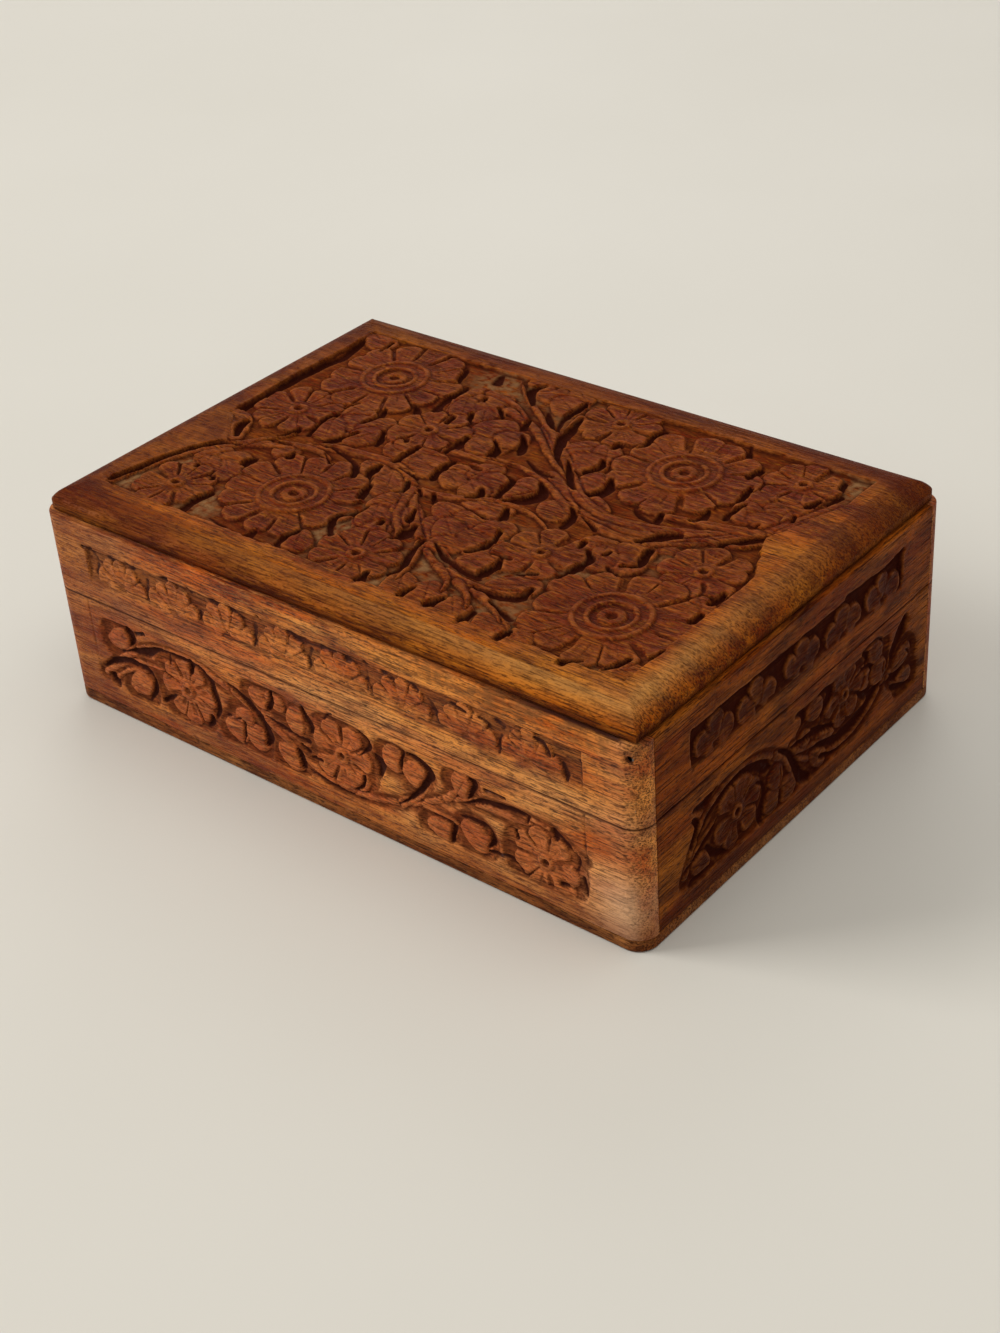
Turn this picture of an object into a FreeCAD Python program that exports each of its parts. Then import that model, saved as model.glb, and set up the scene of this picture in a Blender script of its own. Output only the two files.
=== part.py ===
"""A carved wooden jewellery box with a hinged lid, in millimetres.

The long side lies along X, the front faces -Y and the origin is the middle of the underside.
Four boards on a bottom panel make the base, four rails under a thick panel make the lid, and
two butt hinges at the back join them.
"""
import FreeCAD, Part
import math
import os
import Sketcher

DRIVING_SIZES = (
    ("box_length", 228.0, "length of the walls, outside"),
    ("box_depth", 155.0, "depth of the walls, outside"),
    ("bottom_thickness", 4.0, "thickness of the bottom panel"),
    ("base_board_height", 37.8, "height of the four base boards"),
    ("lid_rail_height", 27.0, "height of the four lid rails"),
    ("seam_gap", 0.2, "open seam between the base and the shut lid"),
    ("board_thickness", 7.0, "thickness of boards and rails"),
    ("corner_flat", 0.5, "flat end grain left beside a rounded corner"),
    ("panel_thickness", 7.5, "thickness of the lid's top panel"),
    ("panel_setback", 1.7, "ledge between the wall's face and the top panel"),
    ("panel_edge_reach", 9.7, "how far in the top panel's rounded edge starts"),
    ("panel_edge_drop", 4.2, "how far down the rounded edge falls"),
    ("panel_corner_radius", 4.2, "rounding of the top panel's front left and back right corners"),
    ("cut_overrun", 1.0, "how far a cut runs past the wood"),
    ("field_border", 13.0, "plain border round the carved field on top"),
    ("field_depth", 2.2, "depth of the ground in the top field"),
    ("vine_end_margin", 17.0, "plain wood at each end of a vine panel"),
    ("vine_low_margin", 5.5, "plain wood under a vine panel"),
    ("vine_high_margin", 4.8, "plain wood over a vine panel"),
    ("vine_depth", 1.6, "depth of the ground in a vine panel"),
    ("band_end_margin", 18.0, "plain wood at each end of a flower band"),
    ("band_low_margin", 9.5, "plain wood under a flower band"),
    ("band_high_margin", 6.5, "plain wood over a flower band"),
    ("band_depth", 1.4, "depth of the ground in a flower band"),
    ("stem_width", 3.0, "width of a carved stem"),
    ("lining_thickness", 1.2, "thickness of the felt linings"),
    ("lining_clearance", 0.5, "room round a felt lining"),
    ("hinge_spacing", 130.0, "distance between the middles of the hinges"),
    ("hinge_length", 25.0, "length of a hinge"),
    ("hinge_axis_inset", 2.0, "hinge pin's distance in from the back face"),
    ("knuckle_radius", 1.6, "outside radius of the hinge barrel"),
    ("knuckle_gap", 0.16, "end play between two knuckles"),
    ("leaf_thickness", 0.8, "thickness of a hinge leaf"),
    ("leaf_gap", 0.3, "space between the two leaves of a shut hinge"),
    ("leaf_inner_margin", 0.4, "wood left between a leaf and the inside"),
    ("hinge_clearance", 0.2, "room round the barrel and the leaves"),
    ("pin_radius", 0.8, "radius of the hinge pin"),
    ("pin_clearance", 0.05, "running clearance round the pin"),
    ("stop_bevel", 51.0, "angle of each back bevel, in degrees"),
    ("screw_spacing", 15.0, "distance between the two screws of a leaf"),
    ("screw_length", 9.0, "length of a hinge screw"),
    ("screw_head_radius", 1.2, "radius of a countersunk screw head"),
    ("screw_shank_radius", 0.7, "radius of a screw's shank"),
    ("screw_head_height", 0.5, "height of the countersunk cone"),
    ("screw_tip_length", 2.0, "length of a screw's point"),
    ("screw_slot_width", 0.4, "width of the slot in a screw head"),
    ("screw_slot_depth", 0.3, "depth of the slot in a screw head"),
    ("fastener_clearance", 0.04, "room round screws and brads in their holes"),
    ("corner_brad_length", 18.0, "length of a corner brad"),
    ("bottom_brad_length", 14.0, "length of a bottom brad"),
    ("brad_radius", 0.7, "radius of a brad's shank"),
    ("brad_head_radius", 1.1, "radius of a brad's head"),
    ("brad_head_height", 0.7, "height of a brad's head"),
    ("brad_tip_length", 1.6, "length of a brad's point"),
    ("corner_brad_sink", 1.4, "depth of a corner brad's head under the face"),
    ("bottom_brad_sink", 0.4, "depth of a bottom brad's head under the panel"),
    ("base_brad_low_margin", 14.0, "lower base brad above the base boards' foot"),
    ("base_brad_high_margin", 8.0, "upper base brad below the base boards' top"),
    ("lid_brad_low_margin", 6.0, "lower lid brad above the rails' foot"),
    ("lid_brad_high_margin", 4.5, "upper lid brad below the rails' top"),
    ("bottom_brad_margin", 25.0, "first bottom brad's distance from the corner"),
)

DERIVED_PLACES = (
    ("half_length", "=sizes.box_length / 2", "outer end face"),
    ("half_depth", "=sizes.box_depth / 2", "outer front and back face"),
    ("inner_half_length", "=half_length - sizes.board_thickness", "inner end face"),
    ("inner_half_depth", "=half_depth - sizes.board_thickness", "inner front and back face"),
    ("corner_radius", "=sizes.board_thickness - sizes.corner_flat", "rounded upright corner"),
    ("base_top", "=sizes.bottom_thickness + sizes.base_board_height", "top of the base"),
    ("lid_bottom", "=base_top + sizes.seam_gap", "foot of the lid rails"),
    ("lid_top", "=lid_bottom + sizes.lid_rail_height", "top of the lid rails"),
    ("box_top", "=lid_top + sizes.panel_thickness", "top of the box"),
    ("panel_half_length", "=half_length - sizes.panel_setback", "end of the top panel"),
    ("panel_half_depth", "=half_depth - sizes.panel_setback", "front of the top panel"),
    ("field_half_length", "=panel_half_length - sizes.field_border", "half the top field"),
    ("field_half_depth", "=panel_half_depth - sizes.field_border", "half the top field"),
    ("axis_y", "=half_depth - sizes.hinge_axis_inset", "hinge pin, from the middle"),
    ("axis_z", "=base_top + sizes.seam_gap / 2", "hinge pin, from the floor"),
    ("bevel_back", "=half_depth + sizes.cut_overrun", "far side of the bevel cuts"),
    ("bevel_drop", "=(bevel_back - axis_y) * tan(sizes.stop_bevel)", "fall of a bevel cut"),
    ("leaf_edge_y", "=inner_half_depth + sizes.leaf_inner_margin", "inner edge of a leaf"),
    ("barrel_room", "=sizes.knuckle_radius + sizes.hinge_clearance", "radius kept clear"),
    ("screw_y", "=(leaf_edge_y + axis_y - barrel_room) / 2", "middle of a leaf's plate"),
    ("base_leaf_top", "=axis_z - sizes.leaf_gap / 2", "upper face of a base leaf"),
    ("base_leaf_foot", "=base_leaf_top - sizes.leaf_thickness", "lower face of a base leaf"),
    ("lid_leaf_foot", "=axis_z + sizes.leaf_gap / 2", "lower face of a lid leaf"),
    ("lid_leaf_top", "=lid_leaf_foot + sizes.leaf_thickness", "upper face of a lid leaf"),
    ("hinge_room", "=sizes.hinge_length + 2 * sizes.hinge_clearance", "length of a mortise"),
    ("side_middle", "=half_length - sizes.board_thickness / 2", "middle of a side board"),
    ("front_middle", "=half_depth - sizes.board_thickness / 2", "middle of a front board"),
)

KNUCKLES = 5
LONG_SIDE_BRADS = 4
SHORT_SIDE_BRADS = 3
HINGE_SIDES = (("left", -1), ("right", 1))
LONG_SIDES = ("front", "back")
SHORT_SIDES = ("left", "right")

# Carving, laid out as shares of half the field. The top pattern turns onto itself by half a turn.
TOP_FLOWER_SHARES = (
    (0.740, -0.600, 0.37, 16),
    (-0.467, -0.573, 0.37, 16),
    (-0.089, -0.790, 0.19, 9),
    (0.389, -0.320, 0.20, 7),
    (0.845, -0.080, 0.20, 8),
    (-0.820, -0.770, 0.20, 10),
)
TOP_LEAF_SHARES = (
    (-0.78, -0.50, 0.20, 0.13, 60),
    (-0.68, -0.28, 0.16, 0.10, 200),
    (-0.12, -0.42, 0.19, 0.13, 140),
    (0.08, -0.35, 0.22, 0.15, 20),
    (0.28, -0.56, 0.16, 0.10, 60),
    (0.44, -0.66, 0.16, 0.10, 100),
    (0.57, -0.14, 0.22, 0.15, 35),
    (0.28, -0.04, 0.16, 0.11, 80),
    (-0.02, -0.01, 0.20, 0.14, 10),
    (-0.30, -0.22, 0.14, 0.09, 250),
)
TOP_STEM_SHARES = (
    ((-0.97, -0.60), (-0.90, -0.40), (-0.75, -0.24), (-0.58, -0.13), (-0.36, -0.07),
     (-0.19, -0.20), (-0.06, -0.38), (0.05, -0.57), (0.19, -0.71), (0.42, -0.84)),
    ((-0.19, -0.20), (0.03, -0.19), (0.22, -0.12), (0.36, -0.14)),
)
FRONT_FLOWER_SHARES = ((-0.585, -0.05, 0.84, 8), (0.075, 0.05, 0.80, 7), (0.850, -0.25, 0.72, 7))
FRONT_LEAF_SHARES = (
    (-0.86, 0.50, 0.62, 0.40, 60),
    (-0.80, -0.45, 0.62, 0.40, 330),
    (-0.36, -0.50, 0.66, 0.42, 215),
    (-0.16, 0.50, 0.60, 0.38, 40),
    (0.33, 0.55, 0.66, 0.42, 130),
    (0.58, -0.45, 0.66, 0.42, 230),
)
FRONT_STEM_SHARES = (
    ((-0.96, -0.62), (-0.67, 0.80), (-0.45, 0.78), (-0.27, 0.30), (-0.10, -0.36), (0.06, -0.80),
     (0.25, -0.64), (0.46, 0.10), (0.60, 0.52), (0.82, 0.64), (0.95, 0.22)),
)
SIDE_FLOWER_SHARES = ((-0.545, -0.15, 0.80, 6), (0.380, 0.35, 0.62, 6))
SIDE_LEAF_SHARES = (
    (-0.85, -0.55, 0.60, 0.38, 20),
    (-0.20, -0.55, 0.62, 0.40, 240),
    (0.10, 0.62, 0.58, 0.36, 80),
    (0.68, 0.50, 0.60, 0.38, 110),
    (0.88, -0.30, 0.60, 0.38, 300),
)
SIDE_STEM_SHARES = (
    ((-0.94, -0.68), (-0.82, 0.42), (-0.58, 0.80), (-0.34, 0.58), (-0.15, 0.10), (0.05, -0.36),
     (0.27, -0.70), (0.47, -0.78), (0.68, -0.44), (0.80, 0.00), (0.94, 0.80)),
)
FRONT_BAND_FLOWERS = 8
SIDE_BAND_FLOWERS = 5
BAND_FLOWER_PETALS = 6
BAND_FLOWER_SHARE = 0.92
PETAL_VALLEY_SHARE = 0.86

doc = FreeCAD.newDocument("carved_jewellery_box")


def make_sheet(name, rows):
    """A sheet with a note and a value for each row, where the value's alias is the row's name."""
    sheet = doc.addObject("Spreadsheet::Sheet", name)
    for row, (alias, content, note) in enumerate(rows, 1):
        sheet.set(f"A{row}", note)
        sheet.set(f"B{row}", str(content))
        sheet.setAlias(f"B{row}", alias)
    doc.recompute()
    return sheet


sizes = make_sheet("sizes", DRIVING_SIZES)
places = make_sheet("places", DERIVED_PLACES)
derived_names = {row[0] for row in DERIVED_PLACES}


def value(alias):
    """A named length as a plain number."""
    sheet = places if alias in derived_names else sizes
    return float(sheet.get(alias))


def new_body(name):
    return doc.addObject("PartDesign::Body", name)


def new_sketch(body, name, plane, offset="0"):
    """A sketch on one of the body's own origin planes, moved along that plane's normal."""
    sketch = body.newObject("Sketcher::SketchObject", name)
    support = next(f for f in body.Origin.OriginFeatures if f.Role == plane)
    sketch.AttachmentSupport = (support, [""])
    sketch.MapMode = "FlatFace"
    if offset != "0":
        sketch.setExpression("AttachmentOffset.Base.z", offset)
    return sketch


def pin_point(sketch, geometry, position, across, up):
    """Ties one point of a sketch to the origin by two expressions."""
    for kind, axis, expression in (("DistanceX", -2, across), ("DistanceY", -1, up)):
        if expression == "0":
            sketch.addConstraint(Sketcher.Constraint("PointOnObject", geometry, position, axis))
        else:
            rule = Sketcher.Constraint(kind, -1, 1, geometry, position, 1.0)
            index = sketch.addConstraint(rule)
            sketch.setExpression(f"Constraints[{index}]", expression)


def draw_polygon(sketch, points):
    """A closed outline of straight lines, with each corner tied to the origin."""
    count = len(points)
    start = [FreeCAD.Vector(math.cos(turn), math.sin(turn), 0)
             for turn in (2 * math.pi * i / count for i in range(count))]
    for i in range(count):
        sketch.addGeometry(Part.LineSegment(start[i], start[(i + 1) % count]), False)
    for i in range(count):
        sketch.addConstraint(Sketcher.Constraint("Coincident", i, 2, (i + 1) % count, 1))
    for i, (across, up) in enumerate(points):
        pin_point(sketch, i, 1, across, up)


def draw_circle(sketch, across, up, radius):
    """A circle with its middle tied to the origin."""
    index = sketch.addGeometry(Part.Circle(), False)
    pin_point(sketch, index, 3, across, up)
    rule = sketch.addConstraint(Sketcher.Constraint("Radius", index, 1.0))
    sketch.setExpression(f"Constraints[{rule}]", radius)


def rectangle(left, right, low, high):
    """The corners of an upright rectangle, as expressions."""
    return ((left, low), (right, low), (right, high), (left, high))


def add_pad(body, sketch, length, symmetric=False):
    pad = body.newObject("PartDesign::Pad", sketch.Name + "_pad")
    pad.Profile = sketch
    pad.setExpression("Length", length)
    if symmetric:
        pad.SideType = "Symmetric"
    return pad


def add_pocket(body, sketch, length):
    """A cut that runs as far on both sides of its sketch."""
    pocket = body.newObject("PartDesign::Pocket", sketch.Name + "_pocket")
    pocket.Profile = sketch
    pocket.SideType = "Symmetric"
    pocket.setExpression("Length", length)
    return pocket


def round_upright_corners(body, feature):
    """Rounds the upright edges that lie on the outer corners of the walls."""
    doc.recompute()
    near = value("corner_flat")
    names = []
    for number, edge in enumerate(feature.Shape.Edges, 1):
        middle = edge.CenterOfMass
        if max(value("half_length") - abs(middle.x), value("half_depth") - abs(middle.y)) < near:
            names.append(f"Edge{number}")
    fillet = body.newObject("PartDesign::Fillet", body.Name + "_corners")
    fillet.Base = (feature, names)
    fillet.setExpression("Radius", "places.corner_radius")
    return fillet


def wall_plan(side):
    """The plan of one wall: long walls run the full length, short ones fit between them."""
    long_ends = ("-places.half_length", "places.half_length")
    short_ends = ("-places.inner_half_depth", "places.inner_half_depth")
    plans = {
        "front": rectangle(*long_ends, "-places.half_depth", "-places.inner_half_depth"),
        "back": rectangle(*long_ends, "places.inner_half_depth", "places.half_depth"),
        "left": rectangle("-places.half_length", "-places.inner_half_length", *short_ends),
        "right": rectangle("places.inner_half_length", "places.half_length", *short_ends),
    }
    return plans[side]


def wall_blank(name, side, foot, height):
    """A plain board or rail, before it is carved, mortised and drilled."""
    body = new_body(name + "_blank")
    plan = new_sketch(body, name + "_plan", "XY_Plane", foot)
    draw_polygon(plan, wall_plan(side))
    pad = add_pad(body, plan, height)
    if side in LONG_SIDES:
        round_upright_corners(body, pad)
    return body


def bevel_back_edge(body, name, drop_sign):
    """Bevels a back edge at the seam, from the hinge pin out, so that the lid stops past upright."""
    sketch = new_sketch(body, name + "_bevel", "YZ_Plane")
    far_up = f"places.axis_z {drop_sign} places.bevel_drop"
    past_seam = {"-": "places.axis_z + sizes.cut_overrun", "+": "places.axis_z - sizes.cut_overrun"}
    seam_side = past_seam[drop_sign]
    draw_polygon(sketch, (
        ("places.axis_y", "places.axis_z"),
        ("places.bevel_back", far_up),
        ("places.bevel_back", seam_side),
        ("places.axis_y", seam_side),
    ))
    return add_pocket(body, sketch, "sizes.box_length + 2 * sizes.cut_overrun")


def primitive(kind, name, sizes_by_property, position):
    """A bound solid primitive whose placement's base is bound too."""
    solid = doc.addObject(kind, name)
    for key, expression in sizes_by_property.items():
        solid.setExpression(key, expression)
    for axis, expression in zip("xyz", position):
        solid.setExpression(f"Placement.Base.{axis}", expression)
    return solid


def cut_away(name, base, tools):
    """The base with every tool cut out of it, one after the other."""
    result = base
    for number, tool in enumerate(tools, 1):
        cut = doc.addObject("Part::Cut", f"{name}_cut_{number}")
        cut.Base = result
        cut.Tool = tool
        result = cut
    return result


def lying_cylinder(name, radius, length, middle_x):
    """A cylinder along the hinge pin's line, centred on one hinge."""
    start = f"{middle_x} - ({length}) / 2"
    solid = primitive("Part::Cylinder", name, {"Radius": radius, "Height": length},
                      (start, "places.axis_y", "places.axis_z"))
    solid.Placement.Rotation = FreeCAD.Rotation(FreeCAD.Vector(0, 1, 0), 90)
    return solid


def hinge_middle(sign):
    return f"{sign} * sizes.hinge_spacing / 2"


def hinge_recesses(name, leaf_low, leaf_high):
    """The mortises for the leaves and the rounded gains for the barrels, at both hinges."""
    tools = []
    for side, sign in HINGE_SIDES:
        middle = hinge_middle(sign)
        plate = {"Length": "places.hinge_room", "Height": f"{leaf_high} - ({leaf_low})",
                 "Width": "places.axis_y - places.leaf_edge_y + sizes.hinge_clearance"}
        corner = (f"{middle} - places.hinge_room / 2", "places.leaf_edge_y - sizes.hinge_clearance", leaf_low)
        tools.append(primitive("Part::Box", f"{name}_{side}_mortise", plate, corner))
        tools.append(lying_cylinder(f"{name}_{side}_gain", "places.barrel_room", "places.hinge_room", middle))
    return tools


def turned_body(name, outline):
    """A fastener turned about Z, its head at the origin and its point down."""
    body = new_body(name)
    sketch = new_sketch(body, name + "_profile", "XZ_Plane")
    draw_polygon(sketch, outline)
    turn = body.newObject("PartDesign::Revolution", name + "_turn")
    turn.Profile = sketch
    turn.ReferenceAxis = (sketch, ["V_Axis"])
    turn.Angle = 360
    return body


def screw_outline(room, rise):
    """Half a countersunk screw. Room widens it to its hole, rise runs the hole out of the wood."""
    return (("0", "0" if rise == "0" else rise),
            (f"sizes.screw_head_radius + {room}", "0" if rise == "0" else rise),
            (f"sizes.screw_head_radius + {room}", f"-({room})"),
            (f"sizes.screw_shank_radius + {room}", f"-sizes.screw_head_height - {room}"),
            (f"sizes.screw_shank_radius + {room}", "sizes.screw_tip_length - sizes.screw_length"),
            ("0", f"-sizes.screw_length - {room}"))


def brad_outline(length, room, rise):
    """Half a brad. Room widens it to its hole, rise runs the hole out of the wood."""
    return (("0", "0" if rise == "0" else rise),
            (f"sizes.brad_head_radius + {room}", "0" if rise == "0" else rise),
            (f"sizes.brad_head_radius + {room}", f"-sizes.brad_head_height - {room}"),
            (f"sizes.brad_radius + {room}", f"-sizes.brad_head_height - {room}"),
            (f"sizes.brad_radius + {room}", f"sizes.brad_tip_length - {length}"),
            ("0", f"-({length}) - {room}"))


def aim(position, direction):
    """Where a fastener sits when it is driven in the given direction."""
    return FreeCAD.Placement(FreeCAD.Vector(*position), FreeCAD.Rotation(FreeCAD.Vector(0, 0, -1), direction))


def copies(name, master, spots):
    """One group of separate solids, a copy of the master at every spot."""
    solids = []
    for spot in spots:
        solid = master.Shape.copy()
        solid.Placement = spot
        solids.append(solid)
    group = doc.addObject("Part::Feature", name)
    group.Shape = Part.makeCompound(solids)
    return group


def flower_outline(across, up, radius, petals):
    """A scalloped round: each petal is one arc from valley to valley."""
    valley = radius * PETAL_VALLEY_SHARE
    arcs = []
    for i in range(petals):
        turns = [2 * math.pi * (i + part) / petals for part in (0, 0.5, 1)]
        points = [FreeCAD.Vector(across + reach * math.cos(turn), up + reach * math.sin(turn), 0)
                  for reach, turn in zip((valley, radius, valley), turns)]
        arcs.append(Part.Arc(*points).toShape())
    return Part.Wire(arcs)


def leaf_outline(across, up, length, width, turn):
    """A pointed leaf made of two arcs, its stalk end at the given place."""
    along = FreeCAD.Vector(math.cos(math.radians(turn)), math.sin(math.radians(turn)), 0)
    aside = FreeCAD.Vector(-along.y, along.x, 0)
    stalk = FreeCAD.Vector(across, up, 0)
    tip = stalk + along * length
    middle = stalk + along * (length / 2)
    left = Part.Arc(stalk, middle + aside * (width / 2), tip)
    right = Part.Arc(tip, middle - aside * (width / 2), stalk)
    return Part.Wire([left.toShape(), right.toShape()])


def stem_outline(points, width):
    """A band of even width about a smooth line through the points."""
    line = Part.BSplineCurve()
    line.interpolate(points)
    edges = ([], [])
    for point in points:
        tangent = FreeCAD.Vector(line.tangent(line.parameter(point))[0])
        aside = FreeCAD.Vector(-tangent.y, tangent.x, 0).normalize() * (width / 2)
        edges[0].append(point + aside)
        edges[1].insert(0, point - aside)
    sides = []
    for edge in edges:
        side = Part.BSplineCurve()
        side.interpolate(edge)
        sides.append(side.toShape())
    ends = (Part.LineSegment(edges[0][-1], edges[1][0]), Part.LineSegment(edges[1][-1], edges[0][0]))
    return Part.Wire([sides[0], ends[0].toShape(), sides[1], ends[1].toShape()])


def motif_outlines(flowers, leaves, stems, half_across, half_up):
    """The outlines of flowers, leaves and stems, their shares turned into lengths."""
    outlines = []
    for across, up, radius, petals in flowers:
        outlines.append(flower_outline(across * half_across, up * half_up, radius * half_up, petals))
    for across, up, long_share, wide_share, turn in leaves:
        place = (across * half_across, up * half_up)
        outlines.append(leaf_outline(*place, long_share * half_up, wide_share * half_up, turn))
    for stem in stems:
        points = [FreeCAD.Vector(across * half_across, up * half_up, 0) for across, up in stem]
        outlines.append(stem_outline(points, value("stem_width")))
    return outlines


def carved_ground(outlines, half_across, half_up, depth):
    """What the carver takes away: a shallow field, with the motifs left standing in it."""
    overrun = value("cut_overrun")
    field = Part.makeBox(2 * half_across, 2 * half_up, depth + overrun,
                         FreeCAD.Vector(-half_across, -half_up, -depth))
    rise = FreeCAD.Vector(0, 0, depth + 3 * overrun)
    foot = FreeCAD.Vector(0, 0, -depth - overrun)
    motifs = [Part.Face(outline).extrude(rise).translated(foot) for outline in outlines]
    return field.cut(motifs)


def place_ground(name, ground, placement):
    """A copy of one carved ground, set on the face that it is cut into."""
    feature = doc.addObject("Part::Feature", name)
    feature.Shape = ground.copy()
    feature.Placement = placement
    return feature


def wall_face(side, height):
    """The middle of a wall's outer face: across to the right, up along Z and out of the wood."""
    turns = {"front": 0, "right": 90, "back": 180, "left": 270}
    reach = value("half_depth" if side in LONG_SIDES else "half_length")
    upright = FreeCAD.Rotation(FreeCAD.Vector(1, 0, 0), 90)
    about_z = FreeCAD.Rotation(FreeCAD.Vector(0, 0, 1), turns[side])
    out = about_z.multVec(FreeCAD.Vector(0, -reach, height))
    return FreeCAD.Placement(out, about_z.multiply(upright))


def wall_run(side):
    """Half the length of a wall, from the middle to the outer corner."""
    return value("half_length" if side in LONG_SIDES else "half_depth")


def vine_limits():
    """The lowest and the highest edge of a vine panel."""
    return (value("bottom_thickness") + value("vine_low_margin"),
            value("base_top") - value("vine_high_margin"))


def vine_ground(side):
    """The ground of the wavy vine and its flowers, on a base board."""
    low, high = vine_limits()
    half = (wall_run(side) - value("vine_end_margin"), (high - low) / 2)
    front = (FRONT_FLOWER_SHARES, FRONT_LEAF_SHARES, FRONT_STEM_SHARES)
    motifs = front if side in LONG_SIDES else (SIDE_FLOWER_SHARES, SIDE_LEAF_SHARES, SIDE_STEM_SHARES)
    return carved_ground(motif_outlines(*motifs, *half), *half, value("vine_depth"))


def band_limits():
    """The lowest and the highest edge of a flower band."""
    return (value("lid_bottom") + value("band_low_margin"),
            value("lid_top") - value("band_high_margin"))


def band_ground(side):
    """The ground of the row of flowers, on a lid rail."""
    low, high = band_limits()
    half_across = wall_run(side) - value("band_end_margin")
    half_up = (high - low) / 2
    count = FRONT_BAND_FLOWERS if side in LONG_SIDES else SIDE_BAND_FLOWERS
    step = 2 * half_across / count
    radius = half_up * BAND_FLOWER_SHARE
    outlines = [flower_outline(-half_across + step * (i + 0.5), 0, radius, BAND_FLOWER_PETALS)
                for i in range(count)]
    return carved_ground(outlines, half_across, half_up, value("band_depth"))


def half_turn(rows):
    """The rows, and the same rows turned half round the middle of the field."""
    return rows + tuple((-row[0], -row[1]) + tuple(row[2:]) for row in rows)


def top_field():
    """The big daisies, small flowers, stems and leaves of the lid."""
    half = (value("field_half_length"), value("field_half_depth"))
    count = len(TOP_LEAF_SHARES)
    turned_leaves = tuple((*row[:-1], row[-1] + 180) for row in half_turn(TOP_LEAF_SHARES)[count:])
    turned_stems = tuple(half_turn(stem)[len(stem):] for stem in TOP_STEM_SHARES)
    outlines = motif_outlines(half_turn(TOP_FLOWER_SHARES), TOP_LEAF_SHARES + turned_leaves,
                              TOP_STEM_SHARES + turned_stems, *half)
    place = FreeCAD.Placement(FreeCAD.Vector(0, 0, value("box_top")), FreeCAD.Rotation())
    return place_ground("top_field_ground", carved_ground(outlines, *half, value("field_depth")), place)


def rounded_profile(sketch, half_width):
    """The top panel's section: flat, with an arc falling to a short upright foot at each edge."""
    half = value(half_width)
    reach = value("panel_edge_reach")
    drop = value("panel_edge_drop")
    low = value("lid_top")
    high = value("box_top")
    radius = (reach ** 2 + drop ** 2) / (2 * drop)
    lean = math.atan2(radius - drop, reach)
    up = FreeCAD.Vector(0, 0, 1)
    foot = [FreeCAD.Vector(sign * half, low, 0) for sign in (-1, 1)]
    shoulder = [FreeCAD.Vector(sign * half, high - drop, 0) for sign in (-1, 1)]
    crown = [FreeCAD.Vector(sign * (half - reach), high, 0) for sign in (-1, 1)]
    middle = [FreeCAD.Vector(sign * (half - reach), high - radius, 0) for sign in (-1, 1)]
    right_arc = Part.ArcOfCircle(Part.Circle(middle[1], up, radius), lean, math.pi / 2)
    left_arc = Part.ArcOfCircle(Part.Circle(middle[0], up, radius), math.pi / 2, math.pi - lean)
    for piece in (Part.LineSegment(foot[0], foot[1]), Part.LineSegment(foot[1], shoulder[1]), right_arc,
                  Part.LineSegment(crown[1], crown[0]), left_arc, Part.LineSegment(shoulder[0], foot[0])):
        sketch.addGeometry(piece, False)
    joints = (("Coincident", 0, 2, 1, 1), ("Coincident", 1, 2, 2, 1), ("Tangent", 2, 2, 3, 1),
              ("Tangent", 3, 2, 4, 1), ("Coincident", 4, 2, 5, 1), ("Coincident", 5, 2, 0, 1))
    for kind, first, first_end, second, second_end in joints:
        sketch.addConstraint(Sketcher.Constraint(kind, first, first_end, second, second_end))
    wide = f"places.{half_width}"
    pin_point(sketch, 0, 1, f"-{wide}", "places.lid_top")
    pin_point(sketch, 0, 2, wide, "places.lid_top")
    pin_point(sketch, 1, 2, wide, "places.box_top - sizes.panel_edge_drop")
    pin_point(sketch, 5, 1, f"-{wide}", "places.box_top - sizes.panel_edge_drop")
    pin_point(sketch, 3, 1, f"{wide} - sizes.panel_edge_reach", "places.box_top")
    pin_point(sketch, 3, 2, f"sizes.panel_edge_reach - {wide}", "places.box_top")


def rounded_bar(name, plane, half_width, half_run):
    """The panel's section run straight along its other direction."""
    body = new_body(name)
    sketch = new_sketch(body, name + "_section", plane)
    rounded_profile(sketch, half_width)
    add_pad(body, sketch, f"2 * places.{half_run}", symmetric=True)
    return body


def panel_plate():
    """The panel seen from above: two opposite corners are rounded, the other two are left sharp."""
    body = new_body("panel_plate")
    plan = new_sketch(body, "panel_plan", "XY_Plane", "places.lid_top")
    draw_polygon(plan, rectangle("-places.panel_half_length", "places.panel_half_length",
                                 "-places.panel_half_depth", "places.panel_half_depth"))
    pad = add_pad(body, plan, "sizes.panel_thickness")
    doc.recompute()
    names = []
    for number, edge in enumerate(pad.Shape.Edges, 1):
        upright = edge.BoundBox.ZLength > value("panel_thickness") / 2
        middle = edge.CenterOfMass
        if upright and middle.x * middle.y > 0:
            names.append(f"Edge{number}")
    fillet = body.newObject("PartDesign::Fillet", "panel_plate_corners")
    fillet.Base = (pad, names)
    fillet.setExpression("Radius", "sizes.panel_corner_radius")
    return body


def lid_top_panel():
    """The thick carved panel: two rounded bars crossed, so that the edges meet in mitred ridges."""
    crossed = doc.addObject("Part::Common", "lid_top_panel_crossed")
    crossed.Base = rounded_bar("panel_lengthwise", "YZ_Plane", "panel_half_depth", "panel_half_length")
    crossed.Tool = rounded_bar("panel_crosswise", "XZ_Plane", "panel_half_length", "panel_half_depth")
    blank = doc.addObject("Part::Common", "lid_top_panel_blank")
    blank.Base = crossed
    blank.Tool = panel_plate()
    return cut_away("lid_top_panel", blank, [top_field()])


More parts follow.
